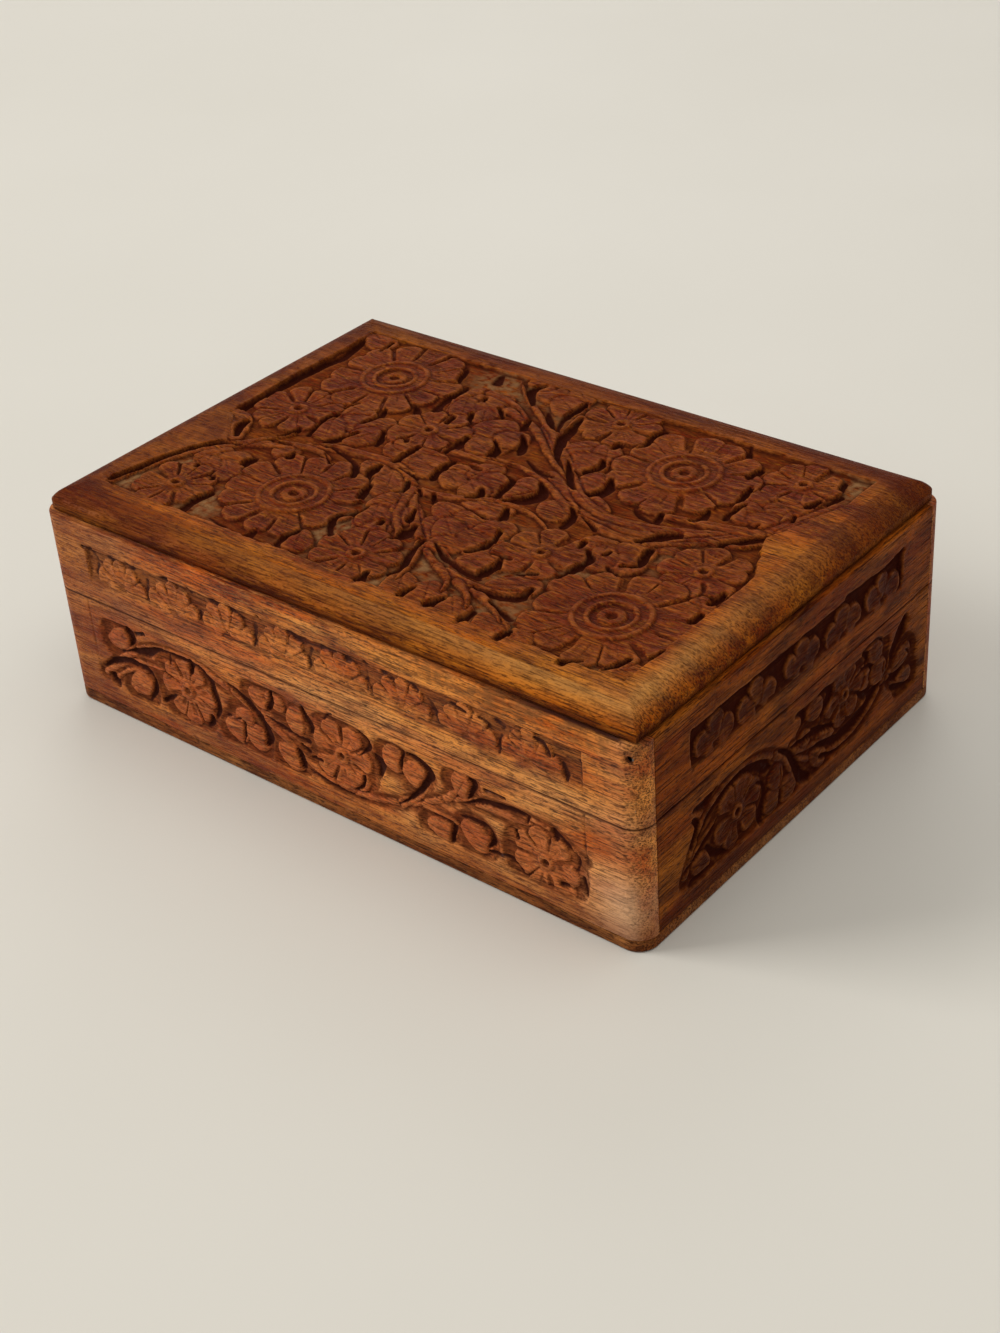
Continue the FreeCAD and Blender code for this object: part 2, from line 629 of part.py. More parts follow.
def hinge_leaf(name, sign, leaf_low, leaf_high, other_knuckles):
    """A leaf with its own knuckles; the other leaf's knuckles are cleared away."""
    middle = hinge_middle(sign)
    body = new_body(name + "_blank")
    plate = new_sketch(body, name + "_plate", "YZ_Plane", middle)
    draw_polygon(plate, rectangle("places.leaf_edge_y", "places.axis_y", leaf_low, leaf_high))
    add_pad(body, plate, "sizes.hinge_length", symmetric=True)
    barrel = new_sketch(body, name + "_barrel", "YZ_Plane", middle)
    draw_circle(barrel, "places.axis_y", "places.axis_z", "sizes.knuckle_radius")
    add_pad(body, barrel, "sizes.hinge_length", symmetric=True)
    for knuckle in other_knuckles:
        step = f"({knuckle} - {(KNUCKLES - 1) // 2}) * sizes.hinge_length / {KNUCKLES}"
        room = new_sketch(body, f"{name}_room_{knuckle}", "YZ_Plane", f"{middle} + {step}")
        draw_circle(room, "places.axis_y", "places.axis_z", "places.barrel_room")
        add_pocket(body, room, f"sizes.hinge_length / {KNUCKLES} + sizes.knuckle_gap")
    bore = new_sketch(body, name + "_bore", "YZ_Plane", middle)
    draw_circle(bore, "places.axis_y", "places.axis_z", "sizes.pin_radius + sizes.pin_clearance")
    add_pocket(body, bore, "places.hinge_room")
    return body


def screw_spots(sign, height, direction):
    """Both screws of one leaf."""
    spots = []
    for end in (-1, 1):
        across = sign * value("hinge_spacing") / 2 + end * value("screw_spacing") / 2
        spots.append(aim((across, value("screw_y"), height), direction))
    return spots


def corner_brad_spots(heights):
    """Brads through the long walls into the ends of the short ones, at every corner."""
    spots = []
    for y_sign in (-1, 1):
        head = y_sign * (value("half_depth") - value("corner_brad_sink"))
        for x_sign in (-1, 1):
            for height in heights:
                position = (x_sign * value("side_middle"), head, height)
                spots.append(aim(position, FreeCAD.Vector(0, -y_sign, 0)))
    return spots


def bottom_brad_spots():
    """Brads up through the bottom panel into the middle of every board."""
    spots = []
    head = value("bottom_brad_sink")
    up = FreeCAD.Vector(0, 0, 1)
    long_reach = value("half_length") - value("bottom_brad_margin")
    short_reach = value("half_depth") - value("bottom_brad_margin")
    for sign in (-1, 1):
        for i in range(LONG_SIDE_BRADS):
            across = long_reach * (2 * i / (LONG_SIDE_BRADS - 1) - 1)
            spots.append(aim((across, sign * value("front_middle"), head), up))
        for i in range(SHORT_SIDE_BRADS):
            along = short_reach * (2 * i / (SHORT_SIDE_BRADS - 1) - 1)
            spots.append(aim((sign * value("side_middle"), along, head), up))
    return spots


def base_brad_heights():
    return (value("bottom_thickness") + value("base_brad_low_margin"),
            value("base_top") - value("base_brad_high_margin"))


def lid_brad_heights():
    return (value("lid_bottom") + value("lid_brad_low_margin"),
            value("lid_top") - value("lid_brad_high_margin"))


# Fasteners and the holes that they are driven into
NO_ROOM = "0 * sizes.fastener_clearance"
hinge_screw = turned_body("hinge_screw", screw_outline(NO_ROOM, "0"))
slot = new_sketch(hinge_screw, "screw_slot", "XY_Plane")
draw_polygon(slot, rectangle("-2 * sizes.screw_head_radius", "2 * sizes.screw_head_radius",
                             "-sizes.screw_slot_width / 2", "sizes.screw_slot_width / 2"))
add_pocket(hinge_screw, slot, "2 * sizes.screw_slot_depth")
screw_hole = turned_body("screw_hole", screw_outline("sizes.fastener_clearance", "sizes.cut_overrun"))
corner_brad = turned_body("corner_brad", brad_outline("sizes.corner_brad_length", NO_ROOM, "0"))
corner_hole = turned_body("corner_hole", brad_outline(
    "sizes.corner_brad_length", "sizes.fastener_clearance", "sizes.corner_brad_sink + sizes.cut_overrun"))
bottom_brad = turned_body("bottom_brad", brad_outline("sizes.bottom_brad_length", NO_ROOM, "0"))
bottom_hole = turned_body("bottom_hole", brad_outline(
    "sizes.bottom_brad_length", "sizes.fastener_clearance", "sizes.bottom_brad_sink + sizes.cut_overrun"))
doc.recompute()

base_corner_spots = corner_brad_spots(base_brad_heights())
lid_corner_spots = corner_brad_spots(lid_brad_heights())
bottom_spots = bottom_brad_spots()
down = FreeCAD.Vector(0, 0, -1)
up = FreeCAD.Vector(0, 0, 1)
base_screws = {side: screw_spots(sign, value("base_leaf_top"), down) for side, sign in HINGE_SIDES}
lid_screws = {side: screw_spots(sign, value("lid_leaf_foot"), up) for side, sign in HINGE_SIDES}

sub_parts = {
    "base_corner_brads": copies("base_corner_brads", corner_brad, base_corner_spots),
    "lid_corner_brads": copies("lid_corner_brads", corner_brad, lid_corner_spots),
    "bottom_panel_brads": copies("bottom_panel_brads", bottom_brad, bottom_spots),
}
for side, sign in HINGE_SIDES:
    for part, spots in (("base", base_screws[side]), ("lid", lid_screws[side])):
        name = f"{side}_hinge_{part}_screws"
        sub_parts[name] = copies(name, hinge_screw, spots)

base_corner_holes = copies("base_corner_holes", corner_hole, base_corner_spots)
lid_corner_holes = copies("lid_corner_holes", corner_hole, lid_corner_spots)
bottom_holes = copies("bottom_holes", bottom_hole, bottom_spots)
base_screw_holes = copies("base_screw_holes", screw_hole, sum(base_screws.values(), []))
lid_screw_holes = copies("lid_screw_holes", screw_hole, sum(lid_screws.values(), []))

# Bottom panel, base boards and lid rails
bottom_body = new_body("bottom_panel_blank")
bottom_plan = new_sketch(bottom_body, "bottom_panel_plan", "XY_Plane")
draw_polygon(bottom_plan, rectangle("-places.half_length", "places.half_length",
                                    "-places.half_depth", "places.half_depth"))
round_upright_corners(bottom_body, add_pad(bottom_body, bottom_plan, "sizes.bottom_thickness"))
sub_parts["bottom_panel"] = cut_away("bottom_panel", bottom_body, [bottom_holes])

for pair in (LONG_SIDES, SHORT_SIDES):
    vine = vine_ground(pair[0])
    band = band_ground(pair[0])
    for side in pair:
        name = f"base_{side}_board"
        board = wall_blank(name, side, "sizes.bottom_thickness", "sizes.base_board_height")
        tools = [base_corner_holes, bottom_holes]
        if side == "back":
            bevel_back_edge(board, name, "-")
            tools += hinge_recesses(name, "places.base_leaf_foot", "places.axis_z")
            tools.append(base_screw_holes)
        tools.append(place_ground(f"{side}_vine", vine, wall_face(side, sum(vine_limits()) / 2)))
        sub_parts[name] = cut_away(name, board, tools)

        name = f"lid_{side}_rail"
        rail = wall_blank(name, side, "places.lid_bottom", "sizes.lid_rail_height")
        tools = [lid_corner_holes]
        if side == "back":
            bevel_back_edge(rail, name, "+")
            tools += hinge_recesses(name, "places.axis_z", "places.lid_leaf_top")
            tools.append(lid_screw_holes)
        tools.append(place_ground(f"{side}_band", band, wall_face(side, sum(band_limits()) / 2)))
        sub_parts[name] = cut_away(name, rail, tools)

sub_parts["lid_top_panel"] = lid_top_panel()

# Felt linings on the floor and under the lid
lining = {"Length": "2 * (places.inner_half_length - sizes.lining_clearance)",
          "Width": "2 * (places.inner_half_depth - sizes.lining_clearance)",
          "Height": "sizes.lining_thickness"}
lining_corner = ("sizes.lining_clearance - places.inner_half_length",
                 "sizes.lining_clearance - places.inner_half_depth")
sub_parts["floor_lining"] = primitive("Part::Box", "floor_lining", lining,
                                      (*lining_corner, "sizes.bottom_thickness"))
sub_parts["lid_lining"] = primitive("Part::Box", "lid_lining", lining,
                                    (*lining_corner, "places.lid_top - sizes.lining_thickness"))

# Butt hinges: the base leaf has the outer knuckles, the lid leaf those between
for side, sign in HINGE_SIDES:
    odd = range(1, KNUCKLES, 2)
    even = range(0, KNUCKLES, 2)
    name = f"{side}_hinge_base_leaf"
    leaf = hinge_leaf(name, sign, "places.base_leaf_foot", "places.base_leaf_top", odd)
    sub_parts[name] = cut_away(name, leaf, [base_screw_holes])
    name = f"{side}_hinge_lid_leaf"
    leaf = hinge_leaf(name, sign, "places.lid_leaf_foot", "places.lid_leaf_top", even)
    sub_parts[name] = cut_away(name, leaf, [lid_screw_holes])
    name = f"{side}_hinge_pin"
    sub_parts[name] = lying_cylinder(name, "sizes.pin_radius", "sizes.hinge_length", hinge_middle(sign))

doc.recompute()

# Labels, faults and files
for name, part in sub_parts.items():
    part.Label = name
doc.recompute()
for item in doc.Objects:
    if "Invalid" in item.State or "Error" in item.State:
        raise RuntimeError(f"{item.Name} did not build: {item.State}")
for name, part in sub_parts.items():
    if part.Shape.isNull() or not part.Shape.isValid():
        raise RuntimeError(f"{name} has no valid shape")

os.makedirs("parts", exist_ok=True)
for name, part in sorted(sub_parts.items()):
    part.Shape.exportStep(f"parts/{name}.step")
    print(f"{name}: {len(part.Shape.Solids)} solids, {part.Shape.Volume:.1f} mm3")
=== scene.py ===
# %% [markdown]
# A carved wooden jewelry box: a base of four walls on a thin bottom, and a hinged lid of four rails
# under a thick panel. Vines and flowers are cut into the panel and into the walls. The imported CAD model
# is loaded first, because it is the frame that every piece here has to fit.

# %% Load the frame
import math

import bmesh
import bpy
import numpy as np
from mathutils import Matrix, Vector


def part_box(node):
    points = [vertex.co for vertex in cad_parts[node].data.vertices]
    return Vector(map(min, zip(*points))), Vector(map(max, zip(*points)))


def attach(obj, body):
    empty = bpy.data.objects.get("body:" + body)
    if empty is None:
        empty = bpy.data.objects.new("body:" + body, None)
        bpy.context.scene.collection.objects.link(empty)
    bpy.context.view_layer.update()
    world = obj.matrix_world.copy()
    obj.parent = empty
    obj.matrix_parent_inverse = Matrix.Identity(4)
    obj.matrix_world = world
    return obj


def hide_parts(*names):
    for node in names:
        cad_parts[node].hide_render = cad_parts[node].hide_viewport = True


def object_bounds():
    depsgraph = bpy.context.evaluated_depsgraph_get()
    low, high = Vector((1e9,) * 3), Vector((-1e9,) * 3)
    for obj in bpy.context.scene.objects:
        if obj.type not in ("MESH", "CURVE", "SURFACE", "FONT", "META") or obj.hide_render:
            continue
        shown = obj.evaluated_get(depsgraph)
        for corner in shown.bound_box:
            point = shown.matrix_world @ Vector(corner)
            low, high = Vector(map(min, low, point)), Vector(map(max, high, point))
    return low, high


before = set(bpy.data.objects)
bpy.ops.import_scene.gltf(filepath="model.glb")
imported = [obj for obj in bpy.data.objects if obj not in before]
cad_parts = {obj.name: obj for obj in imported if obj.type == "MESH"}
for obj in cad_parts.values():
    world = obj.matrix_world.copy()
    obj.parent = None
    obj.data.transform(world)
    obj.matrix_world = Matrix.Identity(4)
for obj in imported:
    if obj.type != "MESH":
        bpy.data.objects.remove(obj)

cad_low, cad_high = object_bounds()
bpy.context.scene.view_settings.view_transform = "Standard"
print("CAD nodes:", len(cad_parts))

# %% [markdown]
# The main sizes come from the CAD nodes, so little has to be fitted by eye. A wood carver thinks in
# millimetres, so the carving is worked out in millimetres and only the finished mesh is in metres.

# %% Sizes from the frame
def box_mm(node_name):
    """A CAD node's lowest and highest corner in millimetres."""
    low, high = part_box(node_name)
    return np.array(low) * 1000, np.array(high) * 1000


panel_low, panel_high = box_mm("lid_top_panel")
front_low, front_high = box_mm("base_front_board")
side_low = box_mm("base_right_board")[0]
rail_low, rail_high = box_mm("lid_front_rail")
HALF_LENGTH = front_high[0]
WALL_THICKNESS = front_high[1] - front_low[1]
INNER_HALF_DEPTH = -front_high[1]
INNER_HALF_LENGTH = side_low[0]
MM = 0.001  # metres in a millimetre
print("wall", WALL_THICKNESS, "mm, panel", panel_high - panel_low)

# %% [markdown]
# Relief carving is a face with heights, so each carved face is held as a grid of heights. Two small
# tools are needed first: a blur, which rounds and compares heights, and a soft random field, which
# stands for the uneven hand of the carver. The random numbers have a fixed start, so that every run
# gives the same box.

# %% Blur and unevenness
random_hand = np.random.default_rng(11)


def soften(heights, cells):
    """A Gaussian blur over a number of grid cells, with the rim carried outwards."""
    reach = int(3 * cells) + 1
    weights = np.exp(-0.5 * (np.arange(-reach, reach + 1) / cells) ** 2)
    weights /= weights.sum()
    for axis in (0, 1):
        rim = [(0, 0), (0, 0)]
        rim[axis] = (reach, reach)
        padded = np.pad(heights, rim, mode="edge")
        count = heights.shape[axis]
        shifted = (np.take(padded, range(i, i + count), axis) for i in range(len(weights)))
        heights = sum(weight * moved for weight, moved in zip(weights, shifted))
    return heights


def unevenness(shape, cells):
    """A soft random field with a spread of about 1."""
    field = soften(random_hand.standard_normal(shape), cells)
    return field / field.std()


def ease(value):
    """0 below 0, 1 above 1, and a smooth step between."""
    value = np.clip(value, 0, 1)
    return value * value * (3 - 2 * value)


print("blur of one spike:", soften(np.eye(1, 9, 4), 1.0).max())

# %% [markdown]
# Stems and gouge cuts run along curves. A drawn curve is kept as a few points with a smooth line through
# them, and every place on a face asks how far it lies from that line. Curve objects with a bevel would
# make tubes that lie on the wood, but a distance can raise a form and cut one as well.

# %% Smooth paths
CURVE_STEPS = 7  # short straight pieces between two points
FAR_AWAY = 1e9


def smooth_path(points):
    """A Catmull-Rom curve through the points."""
    knots = np.array([points[0], *points, points[-1]], float)
    share = np.linspace(0, 1, CURVE_STEPS, endpoint=False)[:, None]
    path = []
    for a, b, c, d in zip(knots, knots[1:], knots[2:], knots[3:]):
        bend = (2 * a - 5 * b + 4 * c - d) * share ** 2 + (3 * b - a - 3 * c + d) * share ** 3
        path.append(0.5 * (2 * b + (c - a) * share + bend))
    return np.vstack([*path, knots[-1:]])


def to_path(u, v, path):
    """Distance of each grid point from a path, and how far along the path that is, from 0 to 1."""
    nearest = np.full(u.shape, FAR_AWAY)
    travelled = np.zeros(u.shape)
    for i, ((au, av), (bu, bv)) in enumerate(zip(path, path[1:])):
        length = max((bu - au) ** 2 + (bv - av) ** 2, 1e-9)
        share = np.clip(((u - au) * (bu - au) + (v - av) * (bv - av)) / length, 0, 1)
        distance = np.hypot(u - au - share * (bu - au), v - av - share * (bv - av))
        closer = distance < nearest
        nearest = np.where(closer, distance, nearest)
        travelled = np.where(closer, i + share, travelled)
    return nearest, travelled / (len(path) - 1)


print("a path through 3 points has", len(smooth_path([(0, 0), (1, 1), (2, 0)])), "knots")

# %% [markdown]
# A carver first lowers the ground round the drawing, then shapes what was left standing, and last of all
# drives the gouge deep beside the forms, so that each one throws a dark edge. The face here works in the
# same order: the ground is sunk, forms are raised out of it with a narrow trench at their foot, and
# pockets are cut along paths. A little jitter on every outline stands for the hand that held the tool.

# %% The carved face
# All in mm.
HAND_JITTER = 0.1  # how far the hand strays from an outline
UNCUT = 0.02  # ground that is shallower counts as uncut
FORM_WALL = 0.4  # width of the side of a raised form
TRENCH_REACH = 0.7  # width of the trench at its foot
POCKET_WALL = 0.85  # width of the side of a pocket
POCKET_SHADE = 1.8  # how far painted shade reaches round a pocket
FULL_CUT = 0.7  # half width at which a pocket has its full depth
CUT_MARGIN = 5


class CarvedFace:
    """Heights in mm over a grid of lines. 0 is the uncut face and the ground is below it."""

    def __init__(self, across, up, cell_mm):
        self.across = across
        self.up = up
        self.u, self.v = np.meshgrid(across, up)
        self.cell_mm = cell_mm
        self.ground = np.zeros_like(self.u)
        self.height = np.zeros_like(self.u)
        self.pocket = np.zeros_like(self.u)
        self.shade = np.zeros_like(self.u)
        self.jitter = HAND_JITTER * unevenness(self.u.shape, 1.0 / cell_mm)

    def sink(self, depth):
        """Sinks the ground to a depth that may differ from place to place."""
        self.ground = np.maximum(self.ground, depth)
        self.height = -self.ground.copy()

    def window(self, low, high, margin):
        """The part of the grid between two corners, with a margin."""
        columns = slice(*np.searchsorted(self.across, (low[0] - margin, high[0] + margin)))
        rows = slice(*np.searchsorted(self.up, (low[1] - margin, high[1] + margin)))
        return rows, columns

    def raise_form(self, window, inside, top, trench_depth):
        """Raises a form: inside is the distance in from its outline and top its own surface."""
        inside = inside + self.jitter[window]
        ground = self.ground[window]
        standing = self.height[window]
        trench = np.where(inside < 0, np.clip(1 + inside / TRENCH_REACH, 0, 1), 1)
        standing = np.maximum(standing - trench_depth * trench, -ground)
        wall = ease(inside / FORM_WALL)
        shaped = standing * (1 - wall) + np.maximum(top, -ground) * wall
        self.height[window] = np.where(ground > UNCUT, shaped, self.height[window])

    def cut_pocket(self, knots, depth):
        """Drives the gouge along a path. Each knot gives a place and half the width of the cut there."""
        knots = np.array(knots, float)
        path = smooth_path(knots[:, :2])
        window = self.window(path.min(0), path.max(0), CUT_MARGIN)
        distance, share = to_path(self.u[window], self.v[window], path)
        half_width = np.interp(share * (len(knots) - 1), range(len(knots)), knots[:, 2])
        inside = half_width - distance + self.jitter[window]
        cut = ease(inside / POCKET_WALL + 0.5) * np.clip(half_width / FULL_CUT, 0.15, 1)
        standing = self.height[window]
        self.height[window] = np.minimum(standing, standing * (1 - cut) - depth * cut)
        self.pocket[window] = np.maximum(self.pocket[window], cut)
        self.shade[window] = np.maximum(self.shade[window], ease(1 + inside / POCKET_SHADE))


print("form wall", FORM_WALL, "mm")

# %% [markdown]
# A flower is a ring of rounded petals parted by V cuts, with turned rings or a drilled eye in the
# middle. A scallop is half a flower that grows out of the foot of a band. Each is a short formula for
# its outline and its top, which gives crisper petals than pushing points by hand would. Every petal
# strays a little from its even place, because no carver measures them.

# %% Flowers and scallops
# A flower's profile from its eye outwards: shares of its size, and the height in mm at each of them.
DAISY_RINGS = (
    [0, .05, .08, .15, .18, .24, .26, .30, .32, .40, .42, .46, .49, .70, .92, 1.02],
    [-1.2, -1.2, -.35, -.35, -1., -.95, -.12, -.12, -.55, -.5, -.04, -.04, -.65, -.3, -.08, -.35],
)
BLOSSOM_RINGS = ([0, .07, .11, .18, .23, .45, .80, 1.02],
                 [-1.2, -1.2, -.15, -.15, -.75, -.4, -.06, -.35])
PETAL_OVERLAP = 1.3  # how far neighbouring petals run into each other
DAISY_PETAL_FOOT = 0.48  # share of a daisy's size at which its petals start
GOUGE_RIPPLE = 0.07  # the rest in mm: marks of the gouge on petals and leaves
FORM_MARGIN = 3
PETAL_CUT = 0.95  # depth of the V cut between two petals of a flower
SCALLOP_CUT = 0.5  # and of a scallop
PETAL_SCOOP = 0.26  # hollow along a petal
PETAL_VEIN = 0.3
SCALLOP_EYE = 0.7  # depth of the eye at a scallop's foot
SCALLOP_EYE_RADIUS = 1.5


def carve_flower(face, u, v, size, petals, turn, rings=BLOSSOM_RINGS, petal_foot=0.25):
    """A flower with scalloped petals, V cuts between them and turned rings in the middle."""
    window = face.window((u, v), (u, v), size + FORM_MARGIN)
    du = face.u[window] - u
    dv = face.v[window] - v
    radius = np.hypot(du, dv)
    step = 2 * math.pi / petals
    wobble = random_hand.uniform(-0.14, 0.14, petals) * step
    angle = (np.arctan2(dv, du) - turn) % (2 * math.pi)
    number = np.round(angle / step).astype(int)
    offset = angle - number * step - wobble[number % petals]
    reach = (size * (1 + random_hand.uniform(-0.09, 0.05, petals)))[number % petals]
    tilt = random_hand.uniform(0.05, 0.45, petals)[number % petals]
    half = step / 2
    lobe_middle = reach / (1 + PETAL_OVERLAP * math.sin(half))
    lobe_radius = reach - lobe_middle
    to_lobe = np.hypot(radius * np.cos(offset) - lobe_middle, radius * np.sin(offset))
    inside = np.maximum(lobe_radius - to_lobe, lobe_middle * math.cos(half) * 0.97 - radius)
    share = radius / reach
    outward = np.clip((share - petal_foot) / (1 - petal_foot), 0, 1)
    across_petal = np.clip(offset / half, -1, 1)
    ring_share = radius / size + (share - radius / size) * ease((radius / size - 0.5) / 0.3)
    top = np.interp(ring_share, *rings)
    to_cut = radius * np.sin(np.clip(half - np.abs(offset), 0, half)) + 0.6 * face.jitter[window]
    top = top - np.clip(PETAL_CUT - 1.3 * to_cut, 0, None) * ease(outward * 3)
    top = top - tilt * (0.5 + 0.5 * across_petal) * ease(outward * 2)
    top = top - PETAL_SCOOP * (1 - across_petal ** 2) * np.sin(math.pi * outward)
    top = top + GOUGE_RIPPLE * np.cos(8 * across_petal + 2 * tilt) * np.sin(math.pi * outward)
    vein = np.clip(PETAL_VEIN - 0.6 * np.abs(radius * np.sin(offset)), 0, None)
    top = top - vein * ease(outward * 4) * (1 - ease(outward * 1.6 - 0.4))
    face.raise_form(window, inside, np.minimum(top, 0), 0.5)


def carve_daisy(face, u, v, size, petals, turn):
    """A large flower with two turned rings round its eye."""
    carve_flower(face, u, v, size, petals, turn, DAISY_RINGS, DAISY_PETAL_FOOT)


def carve_scallop(face, u, v, size, petals, scoop):
    """Half a flower growing out of the foot of a band: round petals, each hollowed with a spoon gouge."""
    window = face.window((u, v), (u, v), size + FORM_MARGIN)
    du = face.u[window] - u
    dv = face.v[window] - v
    radius = np.hypot(du, dv)
    half = math.pi / petals / 2
    angle = np.arctan2(np.maximum(dv, 0), du)
    number = np.clip(angle / half / 2, 0, petals - 1).astype(int)
    middle = (number * 2 + 1 + random_hand.uniform(-0.2, 0.2, petals)[number]) * half
    reach = (size * (1 + random_hand.uniform(-0.08, 0.04, petals)))[number]
    tilt = random_hand.uniform(-0.25, 0.25, petals)[number]
    lobe_middle = reach / (1 + PETAL_OVERLAP * math.sin(half))
    lobe_radius = reach - lobe_middle
    to_lobe = np.hypot(du - lobe_middle * np.cos(middle), dv - lobe_middle * np.sin(middle))
    inside = np.maximum(lobe_radius - to_lobe, lobe_middle * math.cos(half) * 0.97 - radius)
    offset = angle - middle
    top = -0.12 - scoop * np.clip(1 - (to_lobe / lobe_radius) ** 2, 0, 1) + tilt * offset / half
    to_cut = radius * np.sin(np.clip(half - np.abs(offset), 0, half)) + 0.6 * face.jitter[window]
    top = top - np.clip(SCALLOP_CUT - 0.9 * to_cut, 0, None) * ease(radius / reach * 3 - 1.2)
    top = top - SCALLOP_EYE * np.exp(-(radius / SCALLOP_EYE_RADIUS) ** 2)
    face.raise_form(window, inside, np.minimum(top, 0), 0.3)


print("daisy profile has", len(DAISY_RINGS[0]), "turns")

# %% [markdown]
# Leaves and stems fill the space between the flowers. A lobe is a rounded pad with one vein, a bed is
# the lower body of a leaf that its lobes lie on, and a stem is a tapering band along a smooth path. Each
# lobe leans to one side, as a gouge that is pushed from that side would leave it.

# %% Leaves and stems
# All in mm.
LOBE_VEIN = 0.28
BED_HEIGHT = -0.5
STEM_LINE = 0.35  # depth of the line down a stem


def carve_lobe(face, u, v, long, wide, direction):
    """A leaf lobe or bud: a flat pad with a vein along it."""
    window = face.window((u, v), (u, v), max(long, wide) * 1.3 + 2)
    turn = math.radians(direction)
    du = face.u[window] - u
    dv = face.v[window] - v
    along = du * math.cos(turn) + dv * math.sin(turn)
    aside = dv * math.cos(turn) - du * math.sin(turn)
    egg = wide * (1 + 0.18 * along / long)
    share = np.hypot(along / long, aside / egg)
    inside = (1 - share) * min(long, wide)
    lean = random_hand.uniform(-0.3, 0.3)
    top = -0.08 - 0.45 * share ** 2.5 + lean * aside / wide
    top = top + GOUGE_RIPPLE * np.cos(6 * aside / wide + 9 * lean) * (1 - np.clip(share, 0, 1))
    vein = np.clip(LOBE_VEIN - 0.6 * np.abs(aside), 0, None) * ease(1.2 - along / long)
    face.raise_form(window, inside, np.minimum(top - vein, 0), 0.35)


def carve_bed(face, u, v, long, wide, direction):
    """The body of a leaf, a little lower than its lobes, with a wavy outline."""
    window = face.window((u, v), (u, v), max(long, wide) * 1.2 + 2)
    turn = math.radians(direction)
    du = face.u[window] - u
    dv = face.v[window] - v
    along = (du * math.cos(turn) + dv * math.sin(turn)) / long
    aside = (dv * math.cos(turn) - du * math.sin(turn)) / wide
    wave = 0.07 * np.sin(5 * np.arctan2(aside, along) + random_hand.uniform(0, 6))
    inside = (1 + wave - np.hypot(along, aside)) * min(long, wide)
    top = BED_HEIGHT + 0.3 * aside + GOUGE_RIPPLE * np.cos(9 * aside)
    face.raise_form(window, inside, top, 0.3)


def carve_stem(face, points, first_width, last_width):
    """A rounded stem that tapers along its path, with a line cut down its middle."""
    path = smooth_path(points)
    window = face.window(path.min(0), path.max(0), FORM_MARGIN + 1)
    distance, share = to_path(face.u[window], face.v[window], path)
    width = (first_width + (last_width - first_width) * share) * (1 - 0.6 * ease(share * 8 - 7))
    top = -0.12 - 0.5 * (distance / width) ** 1.4
    top = top - np.clip(STEM_LINE - 0.8 * distance, 0, None) * ease(width / 0.8 - 1.6)
    face.raise_form(window, width - distance, top, 0.5)


print("vein", LOBE_VEIN, "mm deep, line down a stem", STEM_LINE, "mm deep")

# %% [markdown]
# A carved board is a grid primitive whose points are lifted to the carved heights. Its rim is then
# carried back to the hidden inner face and closed there, face by face in a fixed order. The extrude tool
# would list the same faces in another order on each run, and the panel's thinning would follow it. A
# sculpt or a displacement map could lift the points too, but both would need files or brush strokes, and
# the heights are already at hand. Seven attributes are kept on the points for the wood: where painted
# shade darkens creases, pockets and gaps, with dirt along seams and joints; where exposed edges are
# painted paler as wear and a painted highlight; whether a place is sunk ground; whether it lies in the
# carving at all; where the wood is stained by old oil, with painted shade along a wall's foot; where it
# is worn, with a painted highlight on the panel's right border; and where it is dusty.

# %% A board from heights
ATTRIBUTES = ("shade_and_dirt", "ridge", "floor", "carved", "stain_and_shade", "wear_and_highlight", "dusty")
FOOT_SHADE = 0.75  # how dark the painted shade in the gap under a rounded inner rim is
BOARD_CREASE = math.radians(50)  # edges that bend more than this stay sharp
# Each place takes a face's across, up and out, in mm, to the box's x, y and z.
TOP_PLACE = Matrix(((1, 0, 0, 0), (0, 1, 0, 0), (0, 0, 1, panel_low[2]), (0, 0, 0, 1)))
FRONT_PLACE = Matrix(((1, 0, 0, 0), (0, 0, -1, -INNER_HALF_DEPTH), (0, 1, 0, 0), (0, 0, 0, 1)))
BACK_PLACE = Matrix(((-1, 0, 0, 0), (0, 0, 1, INNER_HALF_DEPTH), (0, 1, 0, 0), (0, 0, 0, 1)))
RIGHT_PLACE = Matrix(((0, 0, 1, INNER_HALF_LENGTH), (1, 0, 0, 0), (0, 1, 0, 0), (0, 0, 0, 1)))
LEFT_PLACE = Matrix(((0, 0, -1, -INNER_HALF_LENGTH), (-1, 0, 0, 0), (0, 1, 0, 0), (0, 0, 0, 1)))


def even_lines(low, high, spacing):
    """Grid lines from low to high, as near to the spacing as fits evenly."""
    return np.linspace(low, high, int(round((high - low) / spacing)) + 1)


def finish_face(face):
    """Rounds the carving a little, as years of handling do; marks dirt, wear, painted shade and highlight.
    """
    cell_mm = face.cell_mm
    fine = unevenness(face.u.shape, 0.5 / cell_mm)
    broad = unevenness(face.u.shape, 1.8 / cell_mm)
    in_field = ease(np.maximum(face.ground / 0.7, face.pocket))
    height = face.height + in_field * (0.04 * fine + 0.06 * broad)
    height = np.minimum(0.72 * height + 0.28 * soften(height, 0.35 / cell_mm), 0.0)
    near = soften(height, 0.7 / cell_mm)
    crease = np.clip((near - height) / 0.26, 0, 1)
    low_lying = ease((-height / np.maximum(face.ground, 0.3) - 0.7) / 0.25)
    face.height = height
    face.marks = {
        # Painted shade: creases, pockets and the sunk ground round pockets are painted dark, where shade
        # falls.
        "shade_and_dirt": np.clip(0.8 * crease + 0.85 * face.pocket ** 2 + 0.4 * face.shade * low_lying, 0, 1),
        # Painted highlight: convex edges are painted paler, with the wear of handling.
        "ridge": np.clip((height - near) / 0.2, 0, 1),
        # The sunk ground is painted darker, as dirt and painted shade.
        "floor": low_lying * ease(face.ground / 0.5),
        "carved": np.clip(1.15 * soften(in_field, 1.5 / cell_mm), 0, 1),
        "stain_and_shade": np.zeros_like(height),
        "wear_and_highlight": np.zeros_like(height),
        "dusty": np.zeros_like(height),
    }


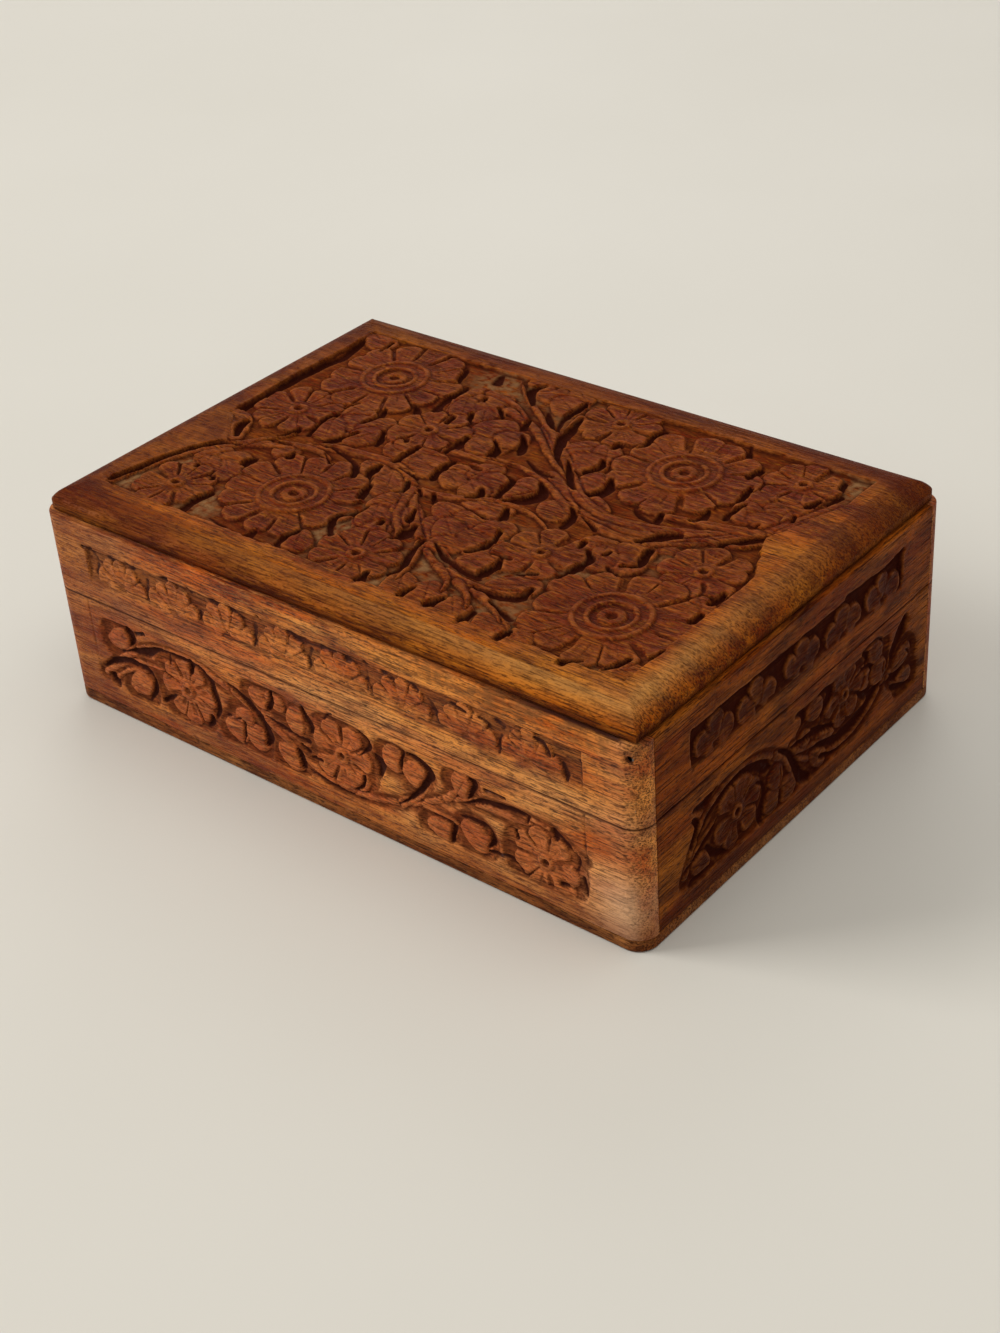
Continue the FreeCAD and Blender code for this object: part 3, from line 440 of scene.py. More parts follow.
def close_behind(board, shape, rings):
    """Carries the rim of a grid back and closes it. A ring scales the last one's x and y and sets its z."""
    solid = bmesh.new()
    solid.from_mesh(board.data)
    solid.verts.ensure_lookup_table()
    numbers = np.arange(shape[0] * shape[1]).reshape(shape)
    around = [*numbers[0, :-1], *numbers[:-1, -1], *numbers[-1, :0:-1], *numbers[:0:-1, 0]]
    rim = [solid.verts[number] for number in around]
    for scale_x, scale_y, z in rings:
        behind = [solid.verts.new((point.co.x * scale_x, point.co.y * scale_y, z)) for point in rim]
        for i in range(len(rim)):
            solid.faces.new((rim[i], rim[i - 1], behind[i - 1], behind[i]))
        rim = behind
    solid.faces.new(rim[::-1])
    solid.to_mesh(board.data)
    solid.free()


def board_from_heights(name, face, out, place, foot=0.0):
    """A closed board: its face is `out` mm in front of its inner face. A foot rounds the inner rim, its gap
    painted in shade.
    """
    bpy.ops.object.select_all(action="DESELECT")
    columns, rows = len(face.across), len(face.up)
    bpy.ops.mesh.primitive_grid_add(x_subdivisions=columns - 1, y_subdivisions=rows - 1, size=1)
    board = bpy.context.object
    board.name = name
    points = np.stack([face.u, face.v, out], axis=-1).reshape(-1, 3)
    board.data.vertices.foreach_set("co", points.ravel())
    shrink = [1 - foot / points[:, axis].max() for axis in (0, 1)]
    foot_ring = [(1, 1, foot)] if foot else []
    close_behind(board, face.u.shape, [*foot_ring, (*shrink, 0)])
    for label in ATTRIBUTES:
        values = np.zeros(len(board.data.vertices), np.float32)
        values[:columns * rows] = face.marks[label].ravel()
        if foot and label == "shade_and_dirt":
            values[columns * rows:] = FOOT_SHADE
        board.data.attributes.new(label, "FLOAT", "POINT").data.foreach_set("value", values)
    board.matrix_world = Matrix.Scale(MM, 4) @ place
    bpy.ops.object.transform_apply(location=True, rotation=True, scale=True)
    bpy.ops.object.shade_smooth_by_angle(angle=BOARD_CREASE)
    print(name, len(board.data.polygons), "faces")
    return board


print("attributes on a board:", ", ".join(ATTRIBUTES))

# %% [markdown]
# Finishes are node trees. Building them with one small function, which adds a node with its settings and
# links, keeps each finish readable as a recipe. A second function turns the sRGB hex colours, as a
# colour picker shows them, to the linear ones that Blender wants.

# %% Node helpers
def linear(hex_colour):
    """An sRGB hex colour as linear RGBA."""
    parts = [int(hex_colour[i:i + 2], 16) / 255 for i in (1, 3, 5)]
    return (*[c / 12.92 if c <= 0.04045 else ((c + 0.055) / 1.055) ** 2.4 for c in parts], 1.0)


def add(tree, kind, sockets=None, **settings):
    """Adds a node, sets it, and links or fills its sockets."""
    made = tree.nodes.new("ShaderNode" + kind)
    for key, value in settings.items():
        setattr(made, key, value)
    for key, value in (sockets or {}).items():
        if isinstance(value, bpy.types.NodeSocket):
            tree.links.new(value, made.inputs[key])
        else:
            made.inputs[key].default_value = value
    return made


def empty_material(name):
    """A material with only a Principled shader, and its node tree."""
    material = bpy.data.materials.new(name)
    material.use_nodes = True
    tree = material.node_tree
    tree.nodes.clear()
    shader = add(tree, "BsdfPrincipled")
    add(tree, "OutputMaterial", {"Surface": shader.outputs["BSDF"]})
    return material, tree, shader


print("mid brown:", linear("#8A4A22"))

# %% [markdown]
# The wood is sheesham, a red-brown rosewood, planed, carved and rubbed with oil. To the eye it gives
# long streaks along the grain, fine dark pores, edges painted paler and orange as wear and a painted
# highlight, and dull, dusty places where the oil and dirt of years lie in the cuts, with painted shade
# that makes them almost black. A photo of a board could be wrapped round the box, but noise that is
# stretched along the grain has no seams and can know where the cuts are: the attributes of the boards say
# where each stain, painted shade, painted highlight and rubbed place goes. The pores of the real wood are
# about a fifth of a millimetre wide, so they are drawn as coarse as they need to be to show.

# %% Layers of the wood
# Each layer: its name, the length and width of a mark in mm, noise detail, the noise levels at which it
# starts and is full, its strength and its tone.
FIGURE_LAYERS = [
    ("figure", 70, 7, 6, 0.38, 0.62, 1.0, "pale"),
    ("glow", 45, 14, 4, 0.48, 0.68, 0.8, "glow"),
    ("stain", 26, 9, 5, 0.49, 0.66, 0.85, "stain"),
]
GRAIN_LAYERS = [
    ("mottle", 10, 3, 5, 0.48, 0.68, 0.55, "stain"),
    ("line", 20, 0.5, 3, 0.49, 0.66, 0.8, "pore"),
    ("fleck", 5, 0.7, 3, 0.52, 0.70, 0.35, "glow"),
    ("pore", 3.5, 0.4, 2, 0.55, 0.65, 0.8, "pore"),
    ("grit", 1.1, 0.7, 2, 0.54, 0.70, 0.4, "pore"),
]
# What lies on the wood, with painted shade and painted highlight among it: the attribute that says
# where, its strength, whether dirt breaks it up, its tone.
LYING_LAYERS = [
    ("stain_and_shade", 1.0, False, "stain"),
    ("floor", 0.6, True, "ground"),
    # Edges painted paler as wear and a painted highlight.
    ("ridge", 0.45, True, "rubbed_and_highlit"),
    ("dusty", 0.8, True, "dust"),
    # Painted shade in creases, pockets and gaps, with dirt along seams and joints.
    ("shade_and_dirt", 0.97, False, "cut"),
]
DIRT_MM = 3.0
CARVED_SHARE = 0.8  # how much of the carved tone and of the fine grain the carving shows
WORN_LOSS = 0.9  # how much of the grain is lost where hands have worn it
OILED_ROUGH = 0.42
DUSTY_ROUGH = 0.85
LINE_ROUGH = 0.25  # how much rougher the open grain lines are
GRAIN_BUMP = 0.0004  # metres
SOFT_GLOSS = 0.035  # specular level of old oil
RUBBED_GLOSS = 0.1  # and of the long walls, which are rubbed brighter
print("layers of grain:", len(FIGURE_LAYERS + GRAIN_LAYERS), "and of dirt and wear:", len(LYING_LAYERS))

# %% [markdown]
# The layers are laid one over the other, mostly as the real marks came about: the broad figure of the
# tree first, then the tone of the cut and worn wood, then the fine lines and pores, and on top the dirt
# and dust, with painted shade and painted highlight. The same lines and pores roughen the surface and
# dent it a little.

# %% Oiled sheesham
def oiled_sheesham(name, grain_turn, tones, sheen):
    """Flowing figure, fine lines and pores under oil; cuts painted dark as shade, dusty ground, edges
    rubbed and painted paler as highlight.
    """
    material, tree, shader = empty_material(name)
    place = add(tree, "TexCoord").outputs["Object"]
    lengthwise = add(tree, "Mapping", {"Vector": place, "Rotation": (0, 0, grain_turn)}).outputs[0]
    mark = {label: add(tree, "Attribute", attribute_name=label).outputs["Fac"] for label in ATTRIBUTES}
    grain = {}

    def streaks(layers, carved_share):
        """Shares of streaky noise and their tones, fewer in the carving and where the wood is worn."""
        left = add(tree, "Math", {0: mark["carved"], 1: carved_share - 1, 2: 1.0}, operation="MULTIPLY_ADD")
        rubbed_and_highlit = add(tree, "Math", {0: mark["wear_and_highlight"], 1: -WORN_LOSS, 2: 1.0}, operation="MULTIPLY_ADD")
        both = {0: left.outputs[0], 1: rubbed_and_highlit.outputs[0]}
        left = add(tree, "Math", both, operation="MULTIPLY").outputs[0]
        shares = []
        for label, long, wide, detail, low, high, most, tone in layers:
            stretch = (1000 / long, 1000 / wide, 1000 / wide)
            spread = add(tree, "Mapping", {"Vector": lengthwise, "Scale": stretch})
            noise = add(tree, "TexNoise", {"Vector": spread.outputs[0], "Scale": 1.0, "Detail": detail})
            limits = {"Value": noise.outputs["Fac"], "From Min": low, "From Max": high, "To Max": most}
            grain[label] = add(tree, "MapRange", limits).outputs[0]
            share = add(tree, "Math", {0: grain[label], 1: left}, operation="MULTIPLY").outputs[0]
            shares.append((share, tone))
        return shares

    laid = streaks(FIGURE_LAYERS, 1.0)
    cut = add(tree, "Math", {0: mark["carved"], 1: CARVED_SHARE}, operation="MULTIPLY").outputs[0]
    laid += [(cut, "carved"), (mark["wear_and_highlight"], "bare")]
    laid += streaks(GRAIN_LAYERS, CARVED_SHARE)
    dirt = add(tree, "TexNoise", {"Vector": place, "Scale": 1000 / DIRT_MM, "Detail": 4.0})
    limits = {"Value": dirt.outputs["Fac"], "From Min": 0.36, "From Max": 0.6}
    dirt = add(tree, "MapRange", limits).outputs[0]
    for label, most, broken, tone in LYING_LAYERS:
        strength = {0: mark[label], 1: most}
        share = add(tree, "Math", strength, operation="MULTIPLY", use_clamp=True).outputs[0]
        if broken:
            share = add(tree, "Math", {0: share, 1: dirt}, operation="MULTIPLY").outputs[0]
        laid.append((share, tone))
    colour = linear(tones["dark"])
    for share, tone in laid:
        mixed = {"Fac": share, "Color1": colour, "Color2": linear(tones[tone])}
        colour = add(tree, "MixRGB", mixed).outputs[0]
    dull = add(tree, "Math", {0: mark["floor"], 1: mark["dusty"]}, operation="MAXIMUM").outputs[0]
    rough = add(tree, "MapRange", {"Value": dull, "To Min": OILED_ROUGH, "To Max": DUSTY_ROUGH}).outputs[0]
    rougher = {0: grain["line"], 1: LINE_ROUGH, 2: rough}
    rough = add(tree, "Math", rougher, operation="MULTIPLY_ADD").outputs[0]
    relief = add(tree, "Math", {0: grain["line"], 1: grain["pore"]}, operation="ADD").outputs[0]
    relief = add(tree, "Math", {0: relief, 1: grain["grit"]}, operation="ADD").outputs[0]
    bump = add(tree, "Bump", {"Height": relief, "Strength": 0.6, "Distance": GRAIN_BUMP}, invert=True)
    for socket, value in (("Base Color", colour), ("Roughness", rough), ("Normal", bump.outputs[0])):
        tree.links.new(value, shader.inputs[socket])
    shader.inputs["Specular IOR Level"].default_value = sheen
    return material


print("finish ready:", oiled_sheesham.__name__)

# %% [markdown]
# The panel, the long walls and the short walls are from different boards, so each has its own tones, and
# shares the tones of pores, dirt, dust and painted shade with the others. The tones also hold painted
# light and shade: the long walls are painted paler, as the lit front, and the panel darker; the short
# walls are painted darkest, as the side in shade.

# %% Three boards
# Shared: the painted shade of cuts, the dirt and painted shade of sunk ground, and the wear and painted
# highlight of edges.
SHARED_TONES = {
    "pore": "#2C1006", "ground": "#55260D", "rubbed_and_highlit": "#A85E28",
    "bare": "#E0B68C", "dust": "#8A6540", "cut": "#330E05",
}
# Painted shade: the panel's tones are darker, and its carved tone darkest.
PANEL_TONES = SHARED_TONES | {
    "dark": "#823205", "pale": "#BA600F", "glow": "#D28022",
    "stain": "#4A1604", "carved": "#641C04", "bare": "#D29A52",
}
# Painted light: the long walls' tones are paler, as the lit front.
LONG_TONES = SHARED_TONES | {
    "dark": "#C65E19", "pale": "#F29A42", "glow": "#E39C54",
    "stain": "#74290A", "carved": "#BE5C2A", "dust": "#80522C",
}
# Painted shade: the short walls' tones are darker, as the side in shade, down to almost black in the
# carving and its ground.
SHORT_TONES = SHARED_TONES | {
    "dark": "#722A03", "pale": "#9C4C09", "glow": "#A8601A", "stain": "#3C1002",
    "carved": "#3C0800", "rubbed_and_highlit": "#A05A28", "ground": "#3C1206",
}
ALONG_DEPTH = -math.pi / 2  # the grain of a short wall runs from front to back
panel_wood = oiled_sheesham("sheesham_panel", 0.0, PANEL_TONES, SOFT_GLOSS)
long_wood = oiled_sheesham("sheesham_long_walls", 0.0, LONG_TONES, RUBBED_GLOSS)
short_wood = oiled_sheesham("sheesham_short_walls", ALONG_DEPTH, SHORT_TONES, SOFT_GLOSS)
print("wood finishes:", panel_wood.name, long_wood.name, short_wood.name)

# %% [markdown]
# The lid's panel is one thick board with a broad rounding along its edges. Four big daisies, eight
# smaller flowers and many leaves fill its sunk field, on two vines that come in from opposite corners.
# The places are read off the photograph in millimetres from the middle of the lid.

# %% The panel's drawing
# Each stem: its points, and half its width at its start and at its end.
PANEL_STEMS = [
    ([(-99.7, -59.7), (-95.4, -42.5), (-89.0, -29.0), (-79.0, -19.7), (-65.4, -13.3), (-56.9, -8.3),
      (-45.4, -5.8), (-34.0, -4.7), (-24.0, -7.1), (-15.4, -14.0), (-8.3, -21.8), (0.3, -30.4),
      (8.9, -37.5), (18.9, -43.3), (30.3, -47.5), (43.1, -51.1), (52.4, -55.4), (61.0, -61.1)], 2.0, 1.0),
    ([(98.1, 43.9), (93.1, 31.7), (88.1, 21.0), (76.0, 12.9), (70.3, 9.6), (57.4, 5.3), (43.1, 4.3),
      (30.3, 9.6), (20.3, 18.2), (13.1, 25.3), (6.7, 30.3), (-1.1, 36.7), (-14.0, 45.7), (-25.4, 53.9),
      (-32.6, 60.6)], 2.4, 1.0),
    ([(88.1, 21.0), (76.0, 8.2), (58.9, -2.5), (37.4, -0.4), (26.0, 5.3), (14.6, 11.5), (-2.6, 14.6),
      (-22.6, 8.6)], 1.9, 0.6),
    ([(-71.1, -14.0), (-59.7, -11.4), (-51.1, -12.8), (-47.6, -16.1)], 1.5, 0.5),
    ([(-80.4, -21.1), (-76.1, -14.0), (-70.4, -6.1)], 1.6, 0.6),
    ([(-15.4, -14.0), (-1.1, -11.4), (7.4, -7.1), (16.0, -5.7), (26.0, -7.1), (36.7, -12.8)], 1.6, 0.6),
    ([(-22.6, 42.0), (-14.0, 39.2), (-5.4, 34.6), (7.4, 24.3), (20.3, 16.0)], 1.8, 0.8),
    ([(-35.4, 48.2), (-28.3, 47.2), (-21.1, 44.9), (-14.0, 40.0)], 1.5, 0.8),
    ([(0.3, 50.3), (1.4, 40.3), (6.0, 30.3)], 1.5, 0.7),
    ([(86.0, 19.2), (71.7, 16.3), (58.9, 13.9), (48.9, 12.9)], 2.2, 0.6),
    ([(-22.6, 11.0), (-11.1, 11.5), (0.3, 12.5)], 1.5, 0.6),
    ([(11.7, -5.4), (15.3, -0.4), (18.1, 4.6)], 1.2, 0.6),
    ([(7.4, -36.8), (15.3, -36.8), (23.1, -40.8), (33.1, -41.8)], 1.6, 0.6),
    ([(23.1, -44.7), (34.6, -46.5), (44.6, -45.7), (50.3, -42.3)], 1.6, 0.6),
    ([(7.4, -36.8), (11.7, -44.7), (13.9, -51.1), (15.3, -56.8)], 1.4, 0.6),
    ([(20.3, -44.0), (27.4, -48.3), (30.3, -54.7)], 1.4, 0.6),
    ([(30.3, -47.5), (37.4, -51.8), (41.7, -57.5)], 1.4, 0.6),
    ([(37.4, -48.3), (46.0, -51.8), (54.6, -58.3)], 1.4, 0.6),
    ([(-15.4, -14.0), (-9.0, -28.3), (-1.1, -36.8), (0.3, -44.0)], 1.4, 0.7),
    ([(76.0, 8.2), (86.0, 10.3), (91.7, 16.0)], 1.2, 0.6),
    ([(63.1, -2.5), (71.7, 3.2), (78.1, 7.2)], 1.2, 0.6),
]
# Each lobe: its middle, half its length and width, and its direction in degrees.
PANEL_LOBES = [
    (-92.6, 58.9, 5.7, 4.3, -30), (-15.4, 58.2, 6.0, 4.3, 20), (-8.6, 62.0, 4.9, 3.7, -40),
    (-8.6, 53.9, 5.7, 4.3, -30), (-24.7, 61.5, 4.3, 2.9, 0), (-38.3, 43.9, 5.1, 3.6, 60),
    (-36.1, 36.0, 5.4, 3.9, -60), (-28.3, 39.2, 5.4, 3.7, -30), (-30.4, 46.7, 4.6, 3.0, 0),
    (-26.6, 33.9, 4.0, 3.0, -60), (-18.6, 29.6, 6.0, 4.6, 30), (-9.7, 26.7, 4.6, 4.3, 0),
    (-14.4, 17.7, 5.7, 4.1, -20), (13.1, 33.9, 5.4, 4.1, 40), (21.0, 35.6, 4.9, 3.7, -60),
    (19.6, 27.2, 5.7, 4.4, -20), (28.9, 18.2, 4.7, 5.0, 0), (77.4, 37.5, 5.1, 3.7, -20),
    (86.0, 36.0, 5.7, 4.4, 30), (76.7, 28.2, 5.4, 3.9, -50), (83.9, 26.7, 4.6, 3.6, 0),
    (90.6, 31.0, 3.7, 2.7, -60), (-64.7, 16.0, 6.0, 4.4, 80), (-58.6, 9.2, 5.4, 4.1, 0),
    (-63.7, 1.7, 6.0, 4.1, -60), (-51.6, 10.6, 5.4, 3.9, 50), (-50.9, 2.9, 5.1, 4.1, 60),
    (-36.1, 4.3, 5.4, 4.1, -60), (-28.3, 0.3, 6.3, 4.3, 0), (-20.4, -0.4, 6.0, 4.7, -20),
    (-41.1, 9.6, 4.3, 3.1, -20), (-8.3, 3.2, 5.4, 3.9, 20), (-3.1, 6.0, 5.1, 3.6, 70),
    (3.4, 3.2, 4.9, 4.1, 0), (0.6, -4.3, 5.1, 3.9, -40), (-9.0, -2.8, 4.6, 3.3, -30),
    (12.4, 3.9, 4.1, 6.0, 0), (29.3, -0.8, 5.0, 4.7, 0), (-24.0, -14.7, 6.9, 4.4, -60),
    (-34.0, -10.4, 4.6, 3.6, -30), (10.6, -9.4, 7.1, 3.9, 10), (52.4, -9.0, 5.7, 4.1, 20),
    (62.4, -6.5, 5.4, 4.1, -30), (64.1, -14.0, 5.1, 4.1, 0), (56.7, -15.7, 5.4, 3.9, -70),
    (-95.4, -9.4, 5.4, 4.1, -30), (-90.4, -16.1, 6.0, 3.6, -40), (-83.3, -30.8, 5.1, 4.4, 50),
    (-75.4, -29.4, 4.6, 3.9, 0), (-72.3, -35.7, 5.1, 4.1, -40), (-80.1, -37.1, 4.6, 3.6, -60),
    (-64.7, -17.5, 3.9, 3.6, 0), (-15.4, -23.7, 6.0, 4.4, 50), (-7.6, -26.1, 5.4, 4.1, -40),
    (-14.0, -33.3, 5.4, 4.1, -60), (-9.0, -41.4, 6.0, 3.9, -80), (4.6, -19.7, 6.9, 3.9, -20),
    (13.1, -17.5, 6.0, 3.9, 20), (21.3, -20.0, 5.4, 4.1, 40), (10.3, -27.1, 6.0, 4.1, -40),
    (21.0, -28.5, 6.0, 4.1, -30), (14.6, -33.7, 4.6, 3.3, 0), (29.3, -35.4, 6.0, 5.0, 30),
    (45.3, -41.1, 6.6, 4.4, 30), (18.1, -58.3, 6.0, 4.4, -60), (27.4, -57.5, 5.7, 4.7, -60),
    (38.9, -59.7, 5.4, 4.4, -50), (52.4, -60.1, 5.7, 3.9, -30), (62.9, -60.0, 4.0, 2.9, -20),
    (95.3, -59.0, 4.9, 3.6, 40), (94.6, -21.1, 4.3, 3.1, -50), (-23.7, -55.4, 4.9, 3.7, -60),
]
# Each flower: its middle, its size, its number of petals and its turn.
PANEL_BLOSSOMS = [
    (13.6, 52.9, 14.3, 9, 0.2), (-35.7, 17.7, 14.0, 7, 0.3), (-81.7, 6.3, 15.1, 11, 0.0),
    (-80.1, -50.4, 13.7, 10, 0.1), (-4.0, -51.8, 14.3, 9, 0.3), (40.6, -22.5, 13.4, 7, 0.0),
    (85.4, -6.3, 13.6, 8, 0.2), (82.0, 50.2, 12.9, 8, 0.1),
]
PANEL_DAISIES = [
    (-69.7, 40.0, 23.7, 13, 0.1), (48.1, 37.7, 23.7, 12, 0.25), (-44.0, -35.7, 23.7, 13, 0.0),
    (77.4, -38.5, 24.0, 12, 0.2),
]
# Each bed is given as a lobe is.
PANEL_BEDS = [
    (-12, 58, 8.9, 7.4, 0), (-33, 40, 11.1, 8.6, 30), (-15, 23, 9.4, 8.9, 0), (17, 31, 8.9, 7.7, 0),
    (82, 33, 11.4, 8.9, 0), (-62, 9, 8.3, 11.4, 0), (-51, 7, 6.6, 8.0, 0), (-28, 2, 12.6, 6.9, 0),
    (-2, 1, 11.4, 8.0, 0), (59, -10, 9.7, 8.3, 0), (-93, -13, 8.0, 6.6, -30), (-78, -33, 10.0, 7.7, 0),
    (-12, -31, 8.0, 13.1, 0), (13, -25, 15.4, 10.3, 15), (55, 0, 21.4, 4.9, -5), (29, 10, 17.1, 5.7, -25),
    (3, 32, 12.9, 4.6, -35),
]
# Outlines of the two places where the plain border reaches into the field.
UNCUT_LEFT = [
    (-110, -8.3), (-97.1, -8.3), (-92.6, -14.0), (-86.9, -21.1), (-85.4, -23.3), (-90.4, -30.4),
    (-95.4, -42.5), (-99.7, -59.7), (-110, -59.7),
]
UNCUT_RIGHT = [
    (110, 43.9), (98.5, 43.9), (95.0, 31.7), (91.0, 21.0), (90.0, 18.2), (92.3, 12.5), (97.0, 3.2),
    (100.3, -4.0), (110, -4.0),
]
print(len(PANEL_LOBES), "leaf lobes,", len(PANEL_BLOSSOMS) + len(PANEL_DAISIES), "flowers")

# %% [markdown]
# The dark pockets between the forms are the last thing the gouge does, and they give the carving its
# depth. Each is drawn on its own, because their places follow no rule, and dust lies in some of them.

